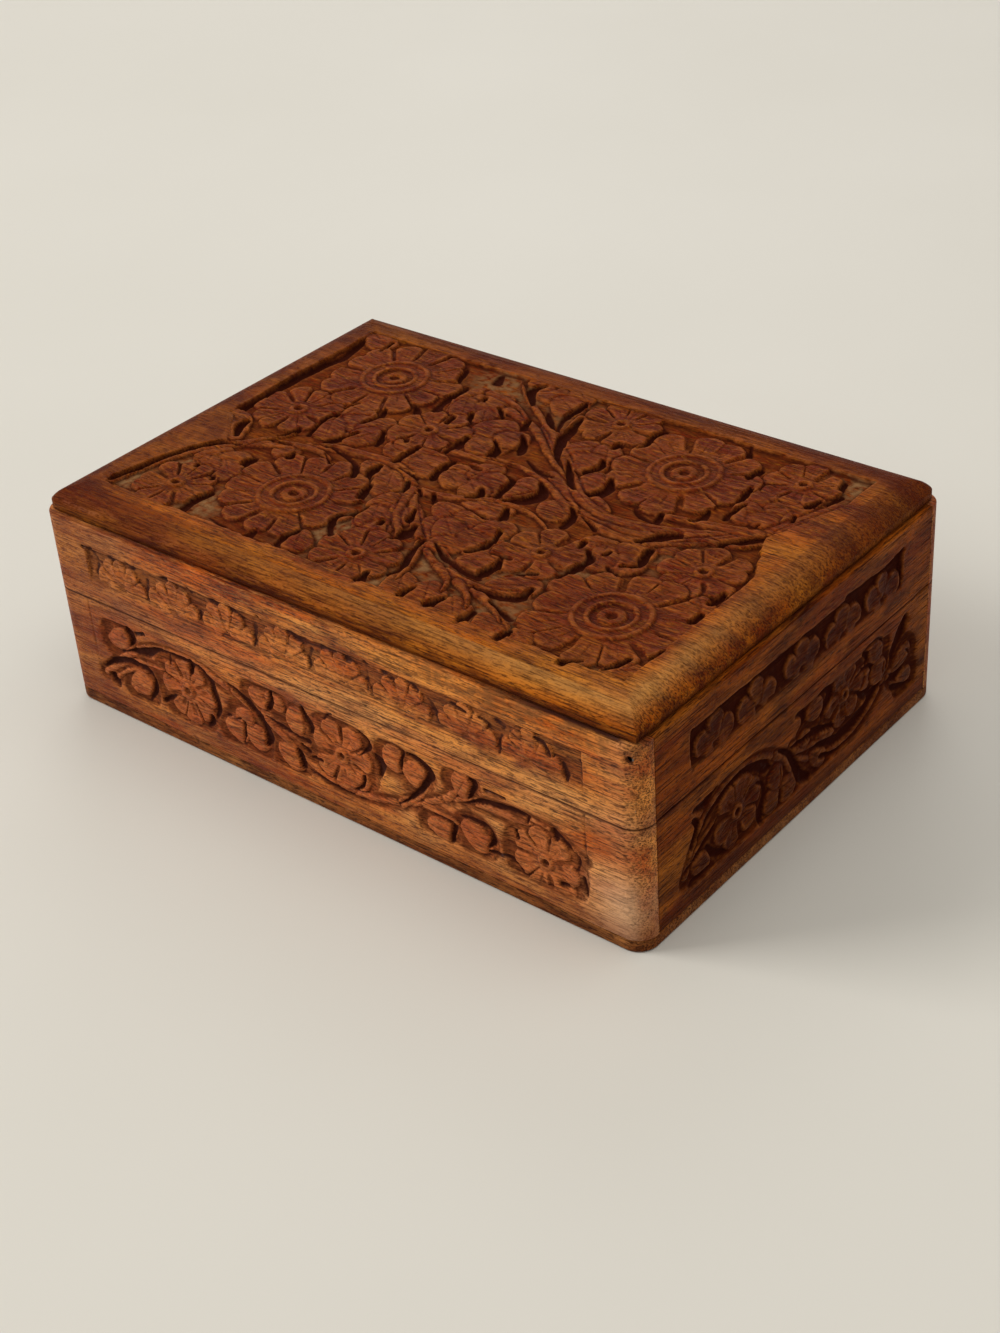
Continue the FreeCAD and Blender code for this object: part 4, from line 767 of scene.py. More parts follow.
# %% The panel's pockets
# Each pocket is a path of knots: a place, and half the width of the cut there.
PANEL_CUTS = [
    [(-97.6, 56, 0.6), (-97, 50, 1.3), (-96, 43, 1.6), (-97.2, 36, 1.4), (-98, 27, 1.6), (-98.2, 16, 1.3),
     (-98, 6, 1.1), (-97.6, -3, 0.8)], [(-88, 60, 0.5), (-87.3, 53, 0.5)],
    [(-53.5, 58, 0.5), (-51.5, 53, 1.1), (-50.5, 50, 0.8)], [(-40.5, 60, 1.2), (-39, 56, 1.7)],
    [(-45.5, 48.5, 0.5), (-44, 44, 1.4), (-45, 38, 1.2), (-44.5, 33, 1.3), (-43, 30, 2.2)],
    [(-50.5, 28.5, 0.6), (-48, 26, 1.4), (-46, 24.5, 0.5)],
    [(-57.2, 21, 0.8), (-55.8, 16, 1.1), (-56.8, 10, 0.6)], [(-68, 19.5, 0.8), (-69, 15, 0.7)],
    [(-67.5, 10.5, 0.7), (-69.5, 6, 1.1), (-68.5, 2, 0.9), (-67, -4, 1.1)],
    [(-47.5, 9.5, 0.6), (-45, 5, 1.1), (-44, 2, 0.6)], [(-35.2, 29, 0.8), (-34.5, 25, 0.9)],
    [(-31.5, 7.5, 0.8), (-31.2, 2, 1.5), (-31, -3.5, 1.4)],
    [(-53.5, 4, 0.7), (-56, -1, 1.3), (-59, -5.5, 0.8)], [(-34.5, 44.5, 0.8), (-33.5, 42, 0.5)],
    [(-38, 9.5, 0.8), (-37, 8, 0.5)],
    [(-23, 61, 1), (-25.5, 57.5, 1.7), (-22.5, 53, 1.2), (-18, 48.5, 0.5)],
    [(-4.5, 59, 0.6), (-3.8, 53, 1.3), (-4.6, 47, 1), (-2, 40, 0.7)],
    [(-11.8, 48, 0.5), (-8.5, 44.5, 1.3), (-3.5, 40, 0.8)],
    [(0.8, 49.5, 0.5), (2, 43, 1.5), (3.2, 37, 1.8), (6, 30.5, 1.5), (10, 24.5, 0.7)],
    [(-12.8, 40.5, 0.7), (-11.4, 35.5, 1.3)], [(-26, 41, 0.6), (-22, 37.5, 0.7)],
    [(-31.2, 33.5, 0.8), (-29.3, 30, 0.8)],
    [(-8, 30.3, 0.5), (-5, 27, 1.2), (-3.2, 23.5, 1.6), (-2.2, 21.5, 0.8)],
    [(-13.8, 23.5, 0.6), (-11, 21, 0.8), (-9, 18.5, 1.4), (-8.6, 15, 1.2)],
    [(-22.2, 20.5, 1), (-21.8, 15.5, 1.6), (-22.2, 10.8, 1.3)],
    [(2.5, 19.5, 0.4), (9, 16.3, 0.8), (16, 14.6, 0.4)],
    [(14, 25, 0.4), (18.5, 19.8, 1.1), (22.5, 15, 1), (26.5, 11.8, 0.4)],
    [(20.8, 42, 1.2), (21, 38.5, 1)], [(28, 57.5, 0.5), (26.8, 52, 1), (28.2, 46, 0.8), (27, 43, 0.4)],
    [(23, 31, 0.8), (24.8, 26.5, 1.2), (22.5, 22.3, 1.1)],
    [(32, 22.5, 0.7), (34.3, 18.5, 1.6), (33.3, 13, 1.9), (30.5, 12.3, 0.6)],
    [(-16.2, 7, 0.6), (-15.8, 1, 1.5), (-14.8, -5, 1.1)], [(-12, 6.5, 0.5), (-5, 5.6, 0.8)],
    [(2.5, 8.3, 0.5), (7, 6.8, 1), (8.4, 1.5, 1.3), (8.8, -3.5, 0.9)],
    [(15.5, 9.5, 0.7), (19.5, 5, 1.9), (18, 0, 1.9), (12, -4.8, 0.6)], [(56, 62, 0.5), (58.3, 57.5, 0.8)],
    [(66.6, 51.8, 0.8), (66.1, 46, 1.3)], [(70.2, 40.5, 0.7), (70.9, 36, 1.1), (71.3, 32, 0.7)],
    [(74, 31, 0.8), (73, 26, 1.2), (73.2, 22.3, 0.8)],
    [(66.8, 24, 0.5), (67.6, 18.5, 1.5), (65.8, 15.3, 0.7)], [(91.3, 58.5, 0.8), (92.6, 54, 0.9)],
    [(94.9, 51, 0.7), (93.8, 45.5, 1.1)], [(91.5, 45, 0.8), (90, 40, 1.2)],
    [(89.8, 33.5, 0.5), (91, 30, 0.6)], [(47.5, 13, 0.4), (52, 10.2, 0.7), (60, 9.2, 0.5)],
    [(56.5, 14, 0.9), (57.6, 10, 1.1)], [(68, 7, 1.2), (64.5, 3, 2.3), (60, -2.5, 0.8)],
    [(89.5, 19.5, 0.4), (85.5, 14.5, 1.1), (81, 8.8, 1)], [(84, 23.5, 0.5), (83, 21, 0.7)],
    [(32.5, 2.5, 0.5), (35.6, -0.5, 1.3), (36.4, -6.5, 1.2)],
    [(-99.3, -60, 0.8), (-97, -50, 0.9), (-95, -41, 0.9), (-91.2, -31, 0.8), (-86.5, -24.5, 1.2),
     (-80.5, -21.5, 0.7)], [(-90, -8.5, 0.7), (-90, -12, 1.7), (-86, -18, 0.7)],
    [(-72, -3.5, 0.8), (-73.3, -8, 1.3), (-76, -12.5, 0.7)], [(-61.9, -16.5, 0.4), (-61.4, -19.3, 1.4)],
    [(-70.3, -25, 0.8), (-70.4, -29.5, 2)], [(-83, -37.8, 0.5), (-82, -39.3, 1)],
    [(-73.3, -41, 0.7), (-72, -42.8, 0.8)], [(-66, -48.5, 0.5), (-67.4, -54, 1.3), (-67, -61, 1.4)],
    [(-75, -14.3, 0.4), (-70.5, -13.8, 0.8), (-66, -13.3, 0.4)],
    [(-61, -8.7, 0.5), (-52, -7.8, 0.6), (-43, -10.3, 0.7), (-38.5, -14, 1), (-36, -18, 1.2)],
    [(-53, -11.8, 0.4), (-47.6, -15.6, 0.6)], [(-33.3, -8, 0.7), (-33, -12, 1.8), (-32, -15.5, 0.9)],
    [(-27.6, -18.8, 0.6), (-26.8, -23, 1.2), (-25.3, -26.5, 1.3)],
    [(-19.7, -29.5, 0.7), (-20, -34, 1), (-23.2, -38.5, 1.4), (-21.8, -43.5, 1), (-17.3, -48, 0.8)],
    [(-27.5, -51, 0.8), (-28.2, -55.5, 1.5), (-27.7, -59.5, 1.4)], [(-38.4, -58, 0.6), (-38.6, -61, 1.7)],
    [(-56, -59.6, 0.4), (-48, -61.2, 0.7)], [(-27, -6.3, 0.4), (-19, -8, 0.7)],
    [(-19.3, -11.3, 0.7), (-16.8, -15.5, 0.8), (-18, -18.5, 0.4)], [(-13.5, -12.8, 0.5), (-11, -15, 0.6)],
    [(-7.5, -13, 0.8), (-5, -15.8, 1)], [(2.8, -2.8, 0.6), (4.6, -6.5, 1.5), (2, -9.3, 0.6)],
    [(16.6, -8, 0.8), (18.3, -11.5, 1.2), (19.5, -15, 0.6)], [(9, -14.8, 0.5), (15.5, -16.3, 0.6)],
    [(23.3, -19.5, 0.7), (25, -25, 0.8), (24.6, -30, 1.1), (22, -33.5, 0.7)],
    [(29, -30.2, 0.4), (35, -30, 0.9)], [(33.2, -31.5, 0.5), (34.6, -36, 1.6), (33, -41, 1.1)],
    [(11.5, -34.8, 0.4), (18, -38.7, 0.9), (27, -41.6, 0.9), (34, -42.3, 0.8)],
    [(0.3, -30.8, 0.8), (0.3, -34.5, 2.1), (-0.8, -40, 0.6)], [(-10.3, -33, 0.6), (-9.6, -35.5, 0.9)],
    [(-6, -23.5, 0.5), (-3.6, -29, 1.1)],
    [(7.5, -35.5, 0.7), (8.7, -42, 1.2), (11.8, -49, 1.3), (11.5, -54, 1.3)],
    [(5.5, -57.3, 0.6), (6.2, -62, 1.6)], [(32.8, -56.5, 0.8), (31.5, -61.5, 1.7)],
    [(22.3, -56.5, 0.5), (21.6, -62, 1.1)], [(38, 0.2, 0.4), (45.5, -3.3, 0.7)],
    [(46.5, -5.2, 0.5), (56, -5, 0.6)],
    [(66, -3.8, 0.8), (66.8, -9, 1.5), (68.3, -13, 0.8), (64.5, -16.3, 0.7)],
    [(47.3, -10.8, 0.8), (48, -14, 0.7)],
    [(51, -14, 0.5), (55, -18.5, 1.4), (53.8, -24, 1.2), (52.8, -30.5, 0.9)],
    [(57, -11.5, 0.5), (57, -14, 0.7)], [(61.5, -18.8, 0.5), (66.5, -20.6, 0.7)],
    [(41.5, -34.8, 0.4), (46.6, -32.3, 1)],
    [(50.8, -39.5, 0.8), (50.2, -44.8, 1.3), (44.5, -47, 0.9), (36.5, -47.5, 0.5)],
    [(45, -50.7, 0.6), (54.5, -54.3, 1)], [(58.8, -59.3, 0.7), (58.6, -63, 1.4)],
    [(44.2, -57, 0.7), (44.3, -62.5, 1.3)], [(93.8, -52.5, 0.7), (92.8, -57, 1.1), (91, -60.5, 0.6)],
    [(96.8, -12.5, 0.7), (96.2, -19, 1.1)], [(97.2, -24.5, 0.7), (97.2, -29, 1.3)],
    [(99, -45, 0.5), (98.4, -49, 0.7)], [(83.5, -60.5, 0.7), (80, -64, 1)],
]
# Spots where pale dust lies in the ground.
PANEL_DUST = [
    (-95, -55), (-65, -55), (-87, -35), (-17, -38), (-20, -51), (15, -43), (25, -25), (29, -54),
    (39, -34), (50, -37), (56, -23), (47, -55), (57, -57), (95, 59), (-37, 56), (-24, -17), (10, -58),
    (90, -60), (75, -3), (-5, 52), (-23, 57),
]
print(len(PANEL_CUTS), "pockets in the panel")

# %% [markdown]
# The panel's edge is rounded over like a pillow, and two of its corners are worn round as well. The grid
# lines are close together in the field and follow the arc of the rounded edge outside it, so that the
# edge needs only a few. A bevel could round the edge of a plain board, but here the heights are already
# at hand.

# %% The panel's edge
PANEL_HALF_LENGTH, PANEL_HALF_DEPTH = panel_high[:2]
PANEL_THICKNESS = panel_high[2] - panel_low[2]
# Sizes in mm, apart from the number of lines on the arc.
ROUND_REACH = 9.7  # how far in from the edge the rounding starts
ROUND_DROP = 4.2  # how far the edge lies below the top
ROUND_RADIUS = (ROUND_REACH ** 2 + ROUND_DROP ** 2) / (2 * ROUND_DROP)
ROUND_LINES = 12
PANEL_CORNER = 4.2
PANEL_FOOT = 0.8  # rounding of the panel's lower rim
PANEL_CELL = 0.38


def rounded_lines(half, field_half):
    """Grid lines that are even over the field and follow the arc of the rounded edge."""
    angles = np.linspace(0, math.asin(ROUND_REACH / ROUND_RADIUS), ROUND_LINES)
    arc = half - ROUND_REACH + ROUND_RADIUS * np.sin(angles)
    field = even_lines(-field_half - 1, field_half + 1, PANEL_CELL)
    return np.concatenate([-arc[::-1], field, arc])


def edge_drop(position, half):
    """How far the rounded edge lies below the top."""
    over = np.clip(np.abs(position) - (half - ROUND_REACH), 0, ROUND_REACH)
    return ROUND_RADIUS - np.sqrt(ROUND_RADIUS ** 2 - over ** 2)


def round_corners(face, half_length, half_depth, radius):
    """Draws the grid in at two opposite corners, so that the board is rounded there from above."""
    over_u = np.clip((np.abs(face.u) - half_length) / radius + 1, 0, 1)
    over_v = np.clip((np.abs(face.v) - half_depth) / radius + 1, 0, 1)
    drawn_in = np.maximum(over_u, over_v) / np.maximum(np.hypot(over_u, over_v), 1e-9)
    drawn_in = np.where(face.u * face.v < 0, 1, drawn_in)
    face.u = face.u - np.sign(face.u) * radius * over_u * (1 - drawn_in)
    face.v = face.v - np.sign(face.v) * radius * over_v * (1 - drawn_in)


print("panel", 2 * PANEL_HALF_LENGTH, "by", 2 * PANEL_HALF_DEPTH, "mm, edge radius", round(ROUND_RADIUS, 1))

# %% [markdown]
# The panel is carved from the lowest forms to the highest: beds, lobes, stems, then flowers, and the
# pockets last, so that each form lies over the ones before it. Dust, wear, old oil and a painted
# highlight on the right border are marked when the carving is done, because they lie where the cuts
# let them.

# %% Carve the panel
# Sizes in mm, and the shares by which the drawn forms grow.
FIELD_HALF_LENGTH = 99.3
FIELD_HALF_DEPTH = 62.8
FIELD_WALL = 0.9
GROUND_DEPTH = 1.35
POCKET_DEPTH = 2.2
DUST_REACH = 9.5
LEAF_GROWTH = 1.34
STEM_GROWTH = 1.3
FLOWER_GROWTH = 1.04


def in_outline(u, v, outline):
    """True where a point lies in a closed outline, by counting crossings."""
    crossings = np.zeros(u.shape, int)
    for (au, av), (bu, bv) in zip(outline, outline[1:] + outline[:1]):
        if av != bv:
            crossings += ((av > v) != (bv > v)) & (u < au + (v - av) * (bu - au) / (bv - av))
    return crossings % 2 == 1


def near_spots(face, spots, reach):
    """1 at the spots, falling to 0 at about twice their reach."""
    share = np.zeros_like(face.u)
    for u, v in spots:
        share = np.maximum(share, np.exp(-((face.u - u) ** 2 + (face.v - v) ** 2) / reach ** 2))
    return share


panel = CarvedFace(rounded_lines(PANEL_HALF_LENGTH, FIELD_HALF_LENGTH),
                   rounded_lines(PANEL_HALF_DEPTH, FIELD_HALF_DEPTH), PANEL_CELL)
into_field = np.minimum(FIELD_HALF_LENGTH - np.abs(panel.u), FIELD_HALF_DEPTH - np.abs(panel.v))
for uncut in (UNCUT_LEFT, UNCUT_RIGHT):
    rim_distance = to_path(panel.u, panel.v, np.array(uncut))[0]
    past_rim = np.where(in_outline(panel.u, panel.v, uncut), -rim_distance, rim_distance)
    into_field = np.minimum(into_field, past_rim)
panel.sink(GROUND_DEPTH * ease((into_field + 2 * panel.jitter) / FIELD_WALL))
for bed in PANEL_BEDS:
    carve_bed(panel, *bed)
for u, v, long, wide, direction in PANEL_LOBES:
    carve_lobe(panel, u, v, long * LEAF_GROWTH, wide * LEAF_GROWTH, direction)
for points, first_width, last_width in PANEL_STEMS:
    carve_stem(panel, points, first_width * STEM_GROWTH, last_width)
for u, v, size, petals, turn in PANEL_BLOSSOMS:
    carve_flower(panel, u, v, size * FLOWER_GROWTH, petals, turn)
for u, v, size, petals, turn in PANEL_DAISIES:
    carve_daisy(panel, u, v, size * FLOWER_GROWTH, petals, turn)
for pocket in PANEL_CUTS:
    panel.cut_pocket(pocket, POCKET_DEPTH)
finish_face(panel)

dust = near_spots(panel, PANEL_DUST, DUST_REACH) * (1 - 0.5 * panel.marks["shade_and_dirt"])
panel.marks["dusty"] = np.minimum(1.2 * dust * panel.marks["floor"], 1)
# Wear and a painted highlight along the front of the panel's right border.
right_border = ease((panel.u - 100) / 6) * ease((112 - panel.u) / 6)
panel.marks["wear_and_highlight"] = 0.55 * ease((40 - panel.v) / 40) * right_border
far_edges = np.maximum(ease((-panel.u - 70) / 25), ease((panel.v - 35) / 25))
panel.marks["stain_and_shade"] = 0.75 * far_edges * (1 - panel.marks["carved"])
print("deepest cut", round(-panel.height.min(), 2), "mm")

# %% [markdown]
# The carved heights become a mesh. It is then thinned where it is nearly flat, which leaves the points
# where the carving needs them. Thinning may lift a point a hair above the board, so the heights are
# capped.

# %% The panel's mesh
PANEL_TRIANGLES = 197000
drop = np.maximum(edge_drop(panel.u, PANEL_HALF_LENGTH), edge_drop(panel.v, PANEL_HALF_DEPTH))
round_corners(panel, PANEL_HALF_LENGTH, PANEL_HALF_DEPTH, PANEL_CORNER)
panel_out = PANEL_THICKNESS - drop + panel.height
lid_panel = board_from_heights("carved_lid_panel", panel, panel_out, TOP_PLACE, PANEL_FOOT)

thin = lid_panel.modifiers.new("thin_flat_places", "DECIMATE")
thin.ratio = PANEL_TRIANGLES / sum(len(face.vertices) - 2 for face in lid_panel.data.polygons)
bpy.ops.object.modifier_apply(modifier=thin.name)
bpy.ops.object.shade_smooth_by_angle(angle=BOARD_CREASE)
points = np.array([point.co for point in lid_panel.data.vertices])
points[:, 2] = np.minimum(points[:, 2], panel_high[2] * MM)
lid_panel.data.vertices.foreach_set("co", points.ravel())
print("panel thinned to", len(lid_panel.data.polygons), "faces")
lid_panel.data.materials.append(panel_wood)
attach(lid_panel, "lid")
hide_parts("lid_top_panel")

# %% [markdown]
# The long walls run through from corner to corner with rounded ends, and the short walls stand between
# them. Before it is carved, each wall is a blank: a flat face with edges that hands have rubbed unevenly
# round. The grid lines crowd together at the edges, so that a rounding of a third of a millimetre shows.
# The ground of a wall is sunk only round its vine, so a halo round the drawing is worked out as well.

# %% Blank walls
# All in mm, apart from the number of lines on an arc.
WALL_CELL = 0.36
EDGE_STEPS = np.array([0, 0.12, 0.3, 0.55, 0.9])
EDGE_ROOM = 1.3
END_LINES = 22
EDGE_RADIUS = 0.35
JOINT_RADIUS = 0.3  # of the short walls' upright edges
THINNEST_WALL = 0.3


def wall_lines(low, high, end_radius):
    """Grid lines along a wall, with an arc at each end where the ends are rounded."""
    if end_radius:
        past_arc = end_radius * np.sin(np.linspace(0, math.pi / 2, END_LINES)[1:])
        arc_low = low + end_radius - past_arc
        arc_high = high - end_radius + past_arc
        straight = even_lines(low + end_radius, high - end_radius, WALL_CELL)
        return np.concatenate([arc_low[::-1], straight, arc_high])
    return height_lines(low, high)


def height_lines(low, high):
    """Grid lines that are even in the middle and close together at both edges."""
    inner = even_lines(low + EDGE_ROOM, high - EDGE_ROOM, WALL_CELL)
    return np.concatenate([low + EDGE_STEPS, inner, high - EDGE_STEPS[::-1]])


def rounded_edge(distance, radius):
    """How far a rubbed edge of this radius falls back at a distance in from it."""
    near = np.clip(radius - distance, 0, radius)
    return radius - np.sqrt(radius ** 2 - near ** 2)


def blank_out(face, end_radius):
    """How far a wall's uncut face stands in front of its inner face."""
    out = np.full(face.u.shape, WALL_THICKNESS)
    rub = EDGE_RADIUS * np.clip(1 + 0.45 * unevenness(face.u.shape, 14), 0.4, 2.2)
    out -= rounded_edge(face.v - face.up[0], rub) + rounded_edge(face.up[-1] - face.v, rub)
    if end_radius:
        over = np.clip(np.abs(face.u) - (face.across[-1] - end_radius), 0, end_radius)
        out -= end_radius - np.sqrt(np.maximum(end_radius ** 2 - over ** 2, 0))
    else:
        out -= rounded_edge(face.u - face.across[0], JOINT_RADIUS)
        out -= rounded_edge(face.across[-1] - face.u, JOINT_RADIUS)
    return np.maximum(out, THINNEST_WALL)


def drawing_halo(face, drawing, reach):
    """1 on the forms of a drawing, falling to 0 at a distance from them."""
    gap = np.full(face.u.shape, FAR_AWAY)
    for points, *widths in drawing["stems"]:
        gap = np.minimum(gap, to_path(face.u, face.v, smooth_path(points))[0])
    for u, v, size, *rest in drawing["flowers"] + drawing["lobes"]:
        gap = np.minimum(gap, np.hypot(face.u - u, face.v - v) - size)
    return ease(1 - gap / reach)


print("wall lines every", WALL_CELL, "mm")

# %% [markdown]
# Each wall carries a vine, and each rail of the lid a band of half flowers. The places are read off the
# photograph in millimetres: across from the middle of the wall, and up from the table. The photograph
# shows two sides, so the back has the front's drawing and the left side the right side's. Stems, lobes,
# flowers and pockets are given as on the panel.

# %% The walls' drawing
LONG_VINE = {
    "stems": [
        ([(-96.9, 15.2), (-85.4, 24.5), (-75.4, 30.9), (-64.0, 33.5), (-52.6, 33.5), (-41.1, 30.2),
          (-29.7, 26.7), (-19.7, 21.7), (-9.7, 15.9), (0.3, 12.4), (10.3, 11.7), (21.7, 13.8),
          (33.1, 17.4), (44.6, 23.8), (54.6, 28.1), (67.4, 30.2), (81.7, 30.2), (94.9, 24.9)], 1.7, 1.0),
        ([(-96.9, 14.5), (-82.6, 23.8), (-68.3, 25.5)], 1.5, 0.6),
        ([(-36.9, 29.5), (-26.9, 23.8), (-22.6, 16.7)], 2.0, 0.7),
        ([(-25.4, 26.4), (-15.4, 23.1), (-6.9, 20.9)], 1.3, 0.6),
        ([(28.9, 15.9), (36.0, 21.7), (41.0, 29.5)], 1.9, 0.7),
        ([(46.0, 24.5), (54.6, 33.8), (56.7, 35.2)], 1.5, 0.6),
        ([(37.4, 18.8), (47.4, 18.1), (51.7, 15.9)], 1.3, 0.6),
        ([(57.4, 28.1), (70.3, 28.1), (77.4, 29.2)], 1.7, 0.7),
        ([(-92.6, 13.8), (-84.7, 19.5), (-75.4, 21.7)], 1.3, 0.6),
    ],
    "lobes": [
        (-86.9, 30.2, 6.3, 4.3, 20), (-80.4, 15.9, 6.3, 4.4, 30), (-38.3, 15.2, 5.1, 4.9, 0),
        (-29.7, 15.9, 5.7, 4.6, -40), (-26.6, 31.5, 4.9, 3.7, -20), (-15.4, 14.5, 6.0, 4.6, -20),
        (26.7, 30.9, 4.6, 5.1, 0), (34.6, 28.4, 4.9, 4.9, 0), (52.4, 32.1, 4.9, 4.3, 60),
        (56.0, 15.9, 6.3, 5.1, -30), (43.1, 13.1, 6.0, 3.7, 0), (-11.9, 28.8, 4.0, 5.7, 0),
        (-19.7, 32.4, 4.3, 3.1, -20), (-34.0, 21.7, 4.3, 3.1, 0),
    ],
    "flowers": [
        (-58.3, 21.7, 12.3, 8, 0.1), (6.0, 23.1, 12.6, 7, 0.2), (81.0, 17.8, 12.6, 7, 0.0),
    ],
}
SHORT_VINE = {
    "stems": [
        ([(-58.2, 13.8), (-53.9, 21.7), (-48.2, 28.8), (-39.6, 33.5), (-30.3, 34.8), (-21.0, 32.7),
          (-12.5, 28.1), (-4.6, 23.1), (2.5, 18.1), (9.7, 14.5), (19.7, 12.1), (29.7, 12.7), (39.0, 15.9),
          (46.1, 21.7), (51.1, 28.1), (57.5, 36.7)], 1.6, 1.0),
        ([(-57.5, 14.5), (-50.3, 21.7), (-41.7, 25.2)], 1.5, 0.6),
        ([(-12.5, 28.1), (-7.5, 23.1), (-3.2, 13.8)], 1.9, 0.7),
        ([(-4.6, 26.7), (4.0, 24.5), (14.0, 23.8)], 1.5, 0.6),
        ([(-3.2, 23.8), (8.3, 20.2), (16.8, 19.8)], 1.5, 0.6),
        ([(45.4, 20.9), (51.1, 21.7), (59.7, 23.8)], 1.7, 0.7),
        ([(48.3, 20.2), (52.5, 15.9), (62.5, 11.7)], 1.3, 0.6),
    ],
    "lobes": [
        (-49.9, 14.2, 5.1, 4.0, -20), (-14.6, 13.8, 4.9, 4.9, 0), (-12.5, 20.7, 4.0, 4.3, 0),
        (-6.5, 13.5, 4.9, 5.1, -40), (7.5, 32.4, 4.9, 4.0, 0), (34.3, 28.1, 4.6, 4.6, 0),
        (41.4, 34.1, 4.6, 4.9, 0), (42.8, 25.5, 4.9, 4.6, 0), (56.1, 23.1, 6.0, 3.7, 20),
        (58.3, 15.5, 4.9, 3.4, -20), (9.7, 14.5, 5.7, 3.4, -40), (2.5, 25.2, 4.0, 2.9, -20),
        (14.0, 20.2, 5.7, 2.6, -10),
    ],
    "flowers": [
        (-32.0, 20.9, 12.6, 6, 0.2), (24.0, 28.1, 11.4, 6, 0.1),
    ],
}
# Each scallop: its middle, its size, its number of petals and the depth of their scoops.
LONG_BAND_FLOWERS = [(-81.0 + 22.75 * i, 50.0, 11.3, 5, 0.3) for i in range(8)]
SHORT_BAND_FLOWERS = [
    (-42.5, 50.4, 10.6, 3, 0.4), (-22.0, 50.0, 10.8, 3, 0.35), (0.2, 50.4, 10.6, 3, 0.4),
    (21.8, 50.0, 11.0, 3, 0.45), (43.4, 50.4, 10.4, 3, 0.4),
]
print(len(LONG_VINE["lobes"]) + len(SHORT_VINE["lobes"]), "leaves on the walls")

# %% [markdown]
# The walls have pockets too, beside the vine and between the half flowers of the bands. The thin
# straight ones at a long wall's ends are the knife lines that mark the ends of the carving.

# %% The walls' pockets
LONG_VINE_CUTS = [
    [(-99, 15, 0.14), (-99, 41.5, 0.14)], [(95.6, 20, 0.14), (95.6, 41, 0.14)],
    [(-85, 26.8, 0.3), (-80, 28.3, 1), (-75, 29.6, 1.7), (-70, 32.2, 1), (-64, 33, 0.8), (-57, 33.2, 0.8),
     (-51, 32.4, 1), (-47.2, 29, 1.4), (-46.6, 25, 1.4), (-45.2, 20.5, 1.2), (-47, 16.3, 0.5)],
    [(-55, 33.5, 1), (-55.2, 31, 1), (-56, 28.3, 0.4)], [(-65, 32, 0.6), (-64.7, 29, 0.4)],
    [(-82.3, 35, 1.7), (-81.6, 32, 1.1), (-83, 29, 0.4), (-87, 26, 0.3)],
    [(-79, 35.2, 0.4), (-75, 36.4, 0.6)],
    [(-97, 16.8, 0.3), (-92.5, 20, 1.1), (-86, 22.6, 1.2), (-79, 23, 1.3), (-74, 20.5, 0.9),
     (-74.5, 15.5, 0.9), (-77.5, 11, 0.4)], [(-94.8, 14.3, 0.8), (-93, 13.3, 1.5), (-91.5, 11.5, 0.7)],
    [(-70, 13.6, 0.9), (-67.5, 15.3, 0.8), (-65, 17.2, 0.3)],
    [(-49.2, 15.5, 0.9), (-49.6, 13, 1), (-51.5, 11, 0.4)],
    [(-41.5, 19.2, 0.3), (-38, 19, 0.4), (-35.5, 20.3, 0.3)],
    [(-34.3, 19.5, 0.5), (-34.6, 15, 0.5), (-36, 11, 0.3)],
    [(-39, 31.3, 0.3), (-34, 29, 0.9), (-29, 25.3, 1.4), (-25.5, 21.5, 1.4), (-24.2, 17.5, 1.6),
     (-25.5, 14.5, 0.7)], [(-21.2, 34.6, 0.8), (-21, 32, 1), (-23, 28.8, 0.7)],
    [(-8, 34.6, 0.9), (-7, 31.5, 1.3), (-5.5, 28, 0.9), (-6.5, 26, 0.4)],
    [(-24, 25.7, 0.3), (-18, 24, 0.7), (-12, 23, 0.9), (-7.5, 22.6, 0.7)],
    [(-13, 18.3, 0.4), (-11.2, 15.5, 1.4), (-11, 12.3, 1)], [(-10.3, 20, 0.8), (-8, 18.7, 0.8)],
    [(-7, 17.2, 0.5), (-3, 17.7, 0.7)], [(-8, 12.2, 0.4), (0, 10.8, 0.4), (8, 10.7, 0.3)],
    [(0.4, 33.8, 0.3), (1.8, 36.2, 0.3), (4, 37.3, 0.3)],
    [(14.5, 34.9, 0.8), (17.5, 33, 1.2), (17.2, 30.3, 0.8), (13, 26, 0.3)],
    [(19.5, 28.8, 0.9), (21.8, 26, 1.6), (20.8, 22.3, 0.9)],
    [(14.3, 18.7, 0.8), (13.3, 15.3, 0.7), (10, 12.8, 0.4)],
    [(30.8, 34.5, 0.6), (29.8, 30.5, 0.5), (29.5, 27, 0.3)],
    [(33, 34.6, 0.8), (37.5, 34, 1.3), (41, 31.5, 1.5), (39, 27.5, 1.1), (35.5, 22.5, 1),
     (31.5, 18.3, 0.6), (27.5, 15, 0.3)],
    [(55.4, 35.4, 0.7), (56.8, 34, 1), (55.8, 31, 0.7), (54, 27.8, 0.3)],
    [(54, 26.8, 0.3), (59, 29, 0.8), (65, 30.2, 1), (72, 31, 1), (76, 31, 0.6)],
    [(61, 34.2, 0.4), (68, 34.3, 0.5)], [(75.5, 31, 0.7), (75.3, 28.7, 0.4)],
    [(84.3, 30, 0.9), (84.9, 27.8, 0.9)],
    [(85, 29.3, 0.7), (89, 27.3, 0.6), (92.5, 24, 0.5), (92, 20, 0.5)],
    [(71, 23.8, 0.7), (71.3, 22.3, 0.8)],
    [(51, 20.6, 0.4), (57, 21.2, 0.5), (61.3, 20.2, 0.7), (62.3, 17, 0.9), (60.5, 13.7, 0.4)],
    [(41, 17, 0.4), (46, 17, 0.6), (48, 16, 1), (47.4, 12.5, 0.8), (47, 10, 0.5)],
    [(60.5, 12.4, 0.5), (68.5, 13.2, 0.7), (72.5, 11, 0.4)], [(86, 12.3, 0.7), (89, 13.2, 0.6)],
    [(94, 18, 0.5), (95, 13, 0.5)],
]
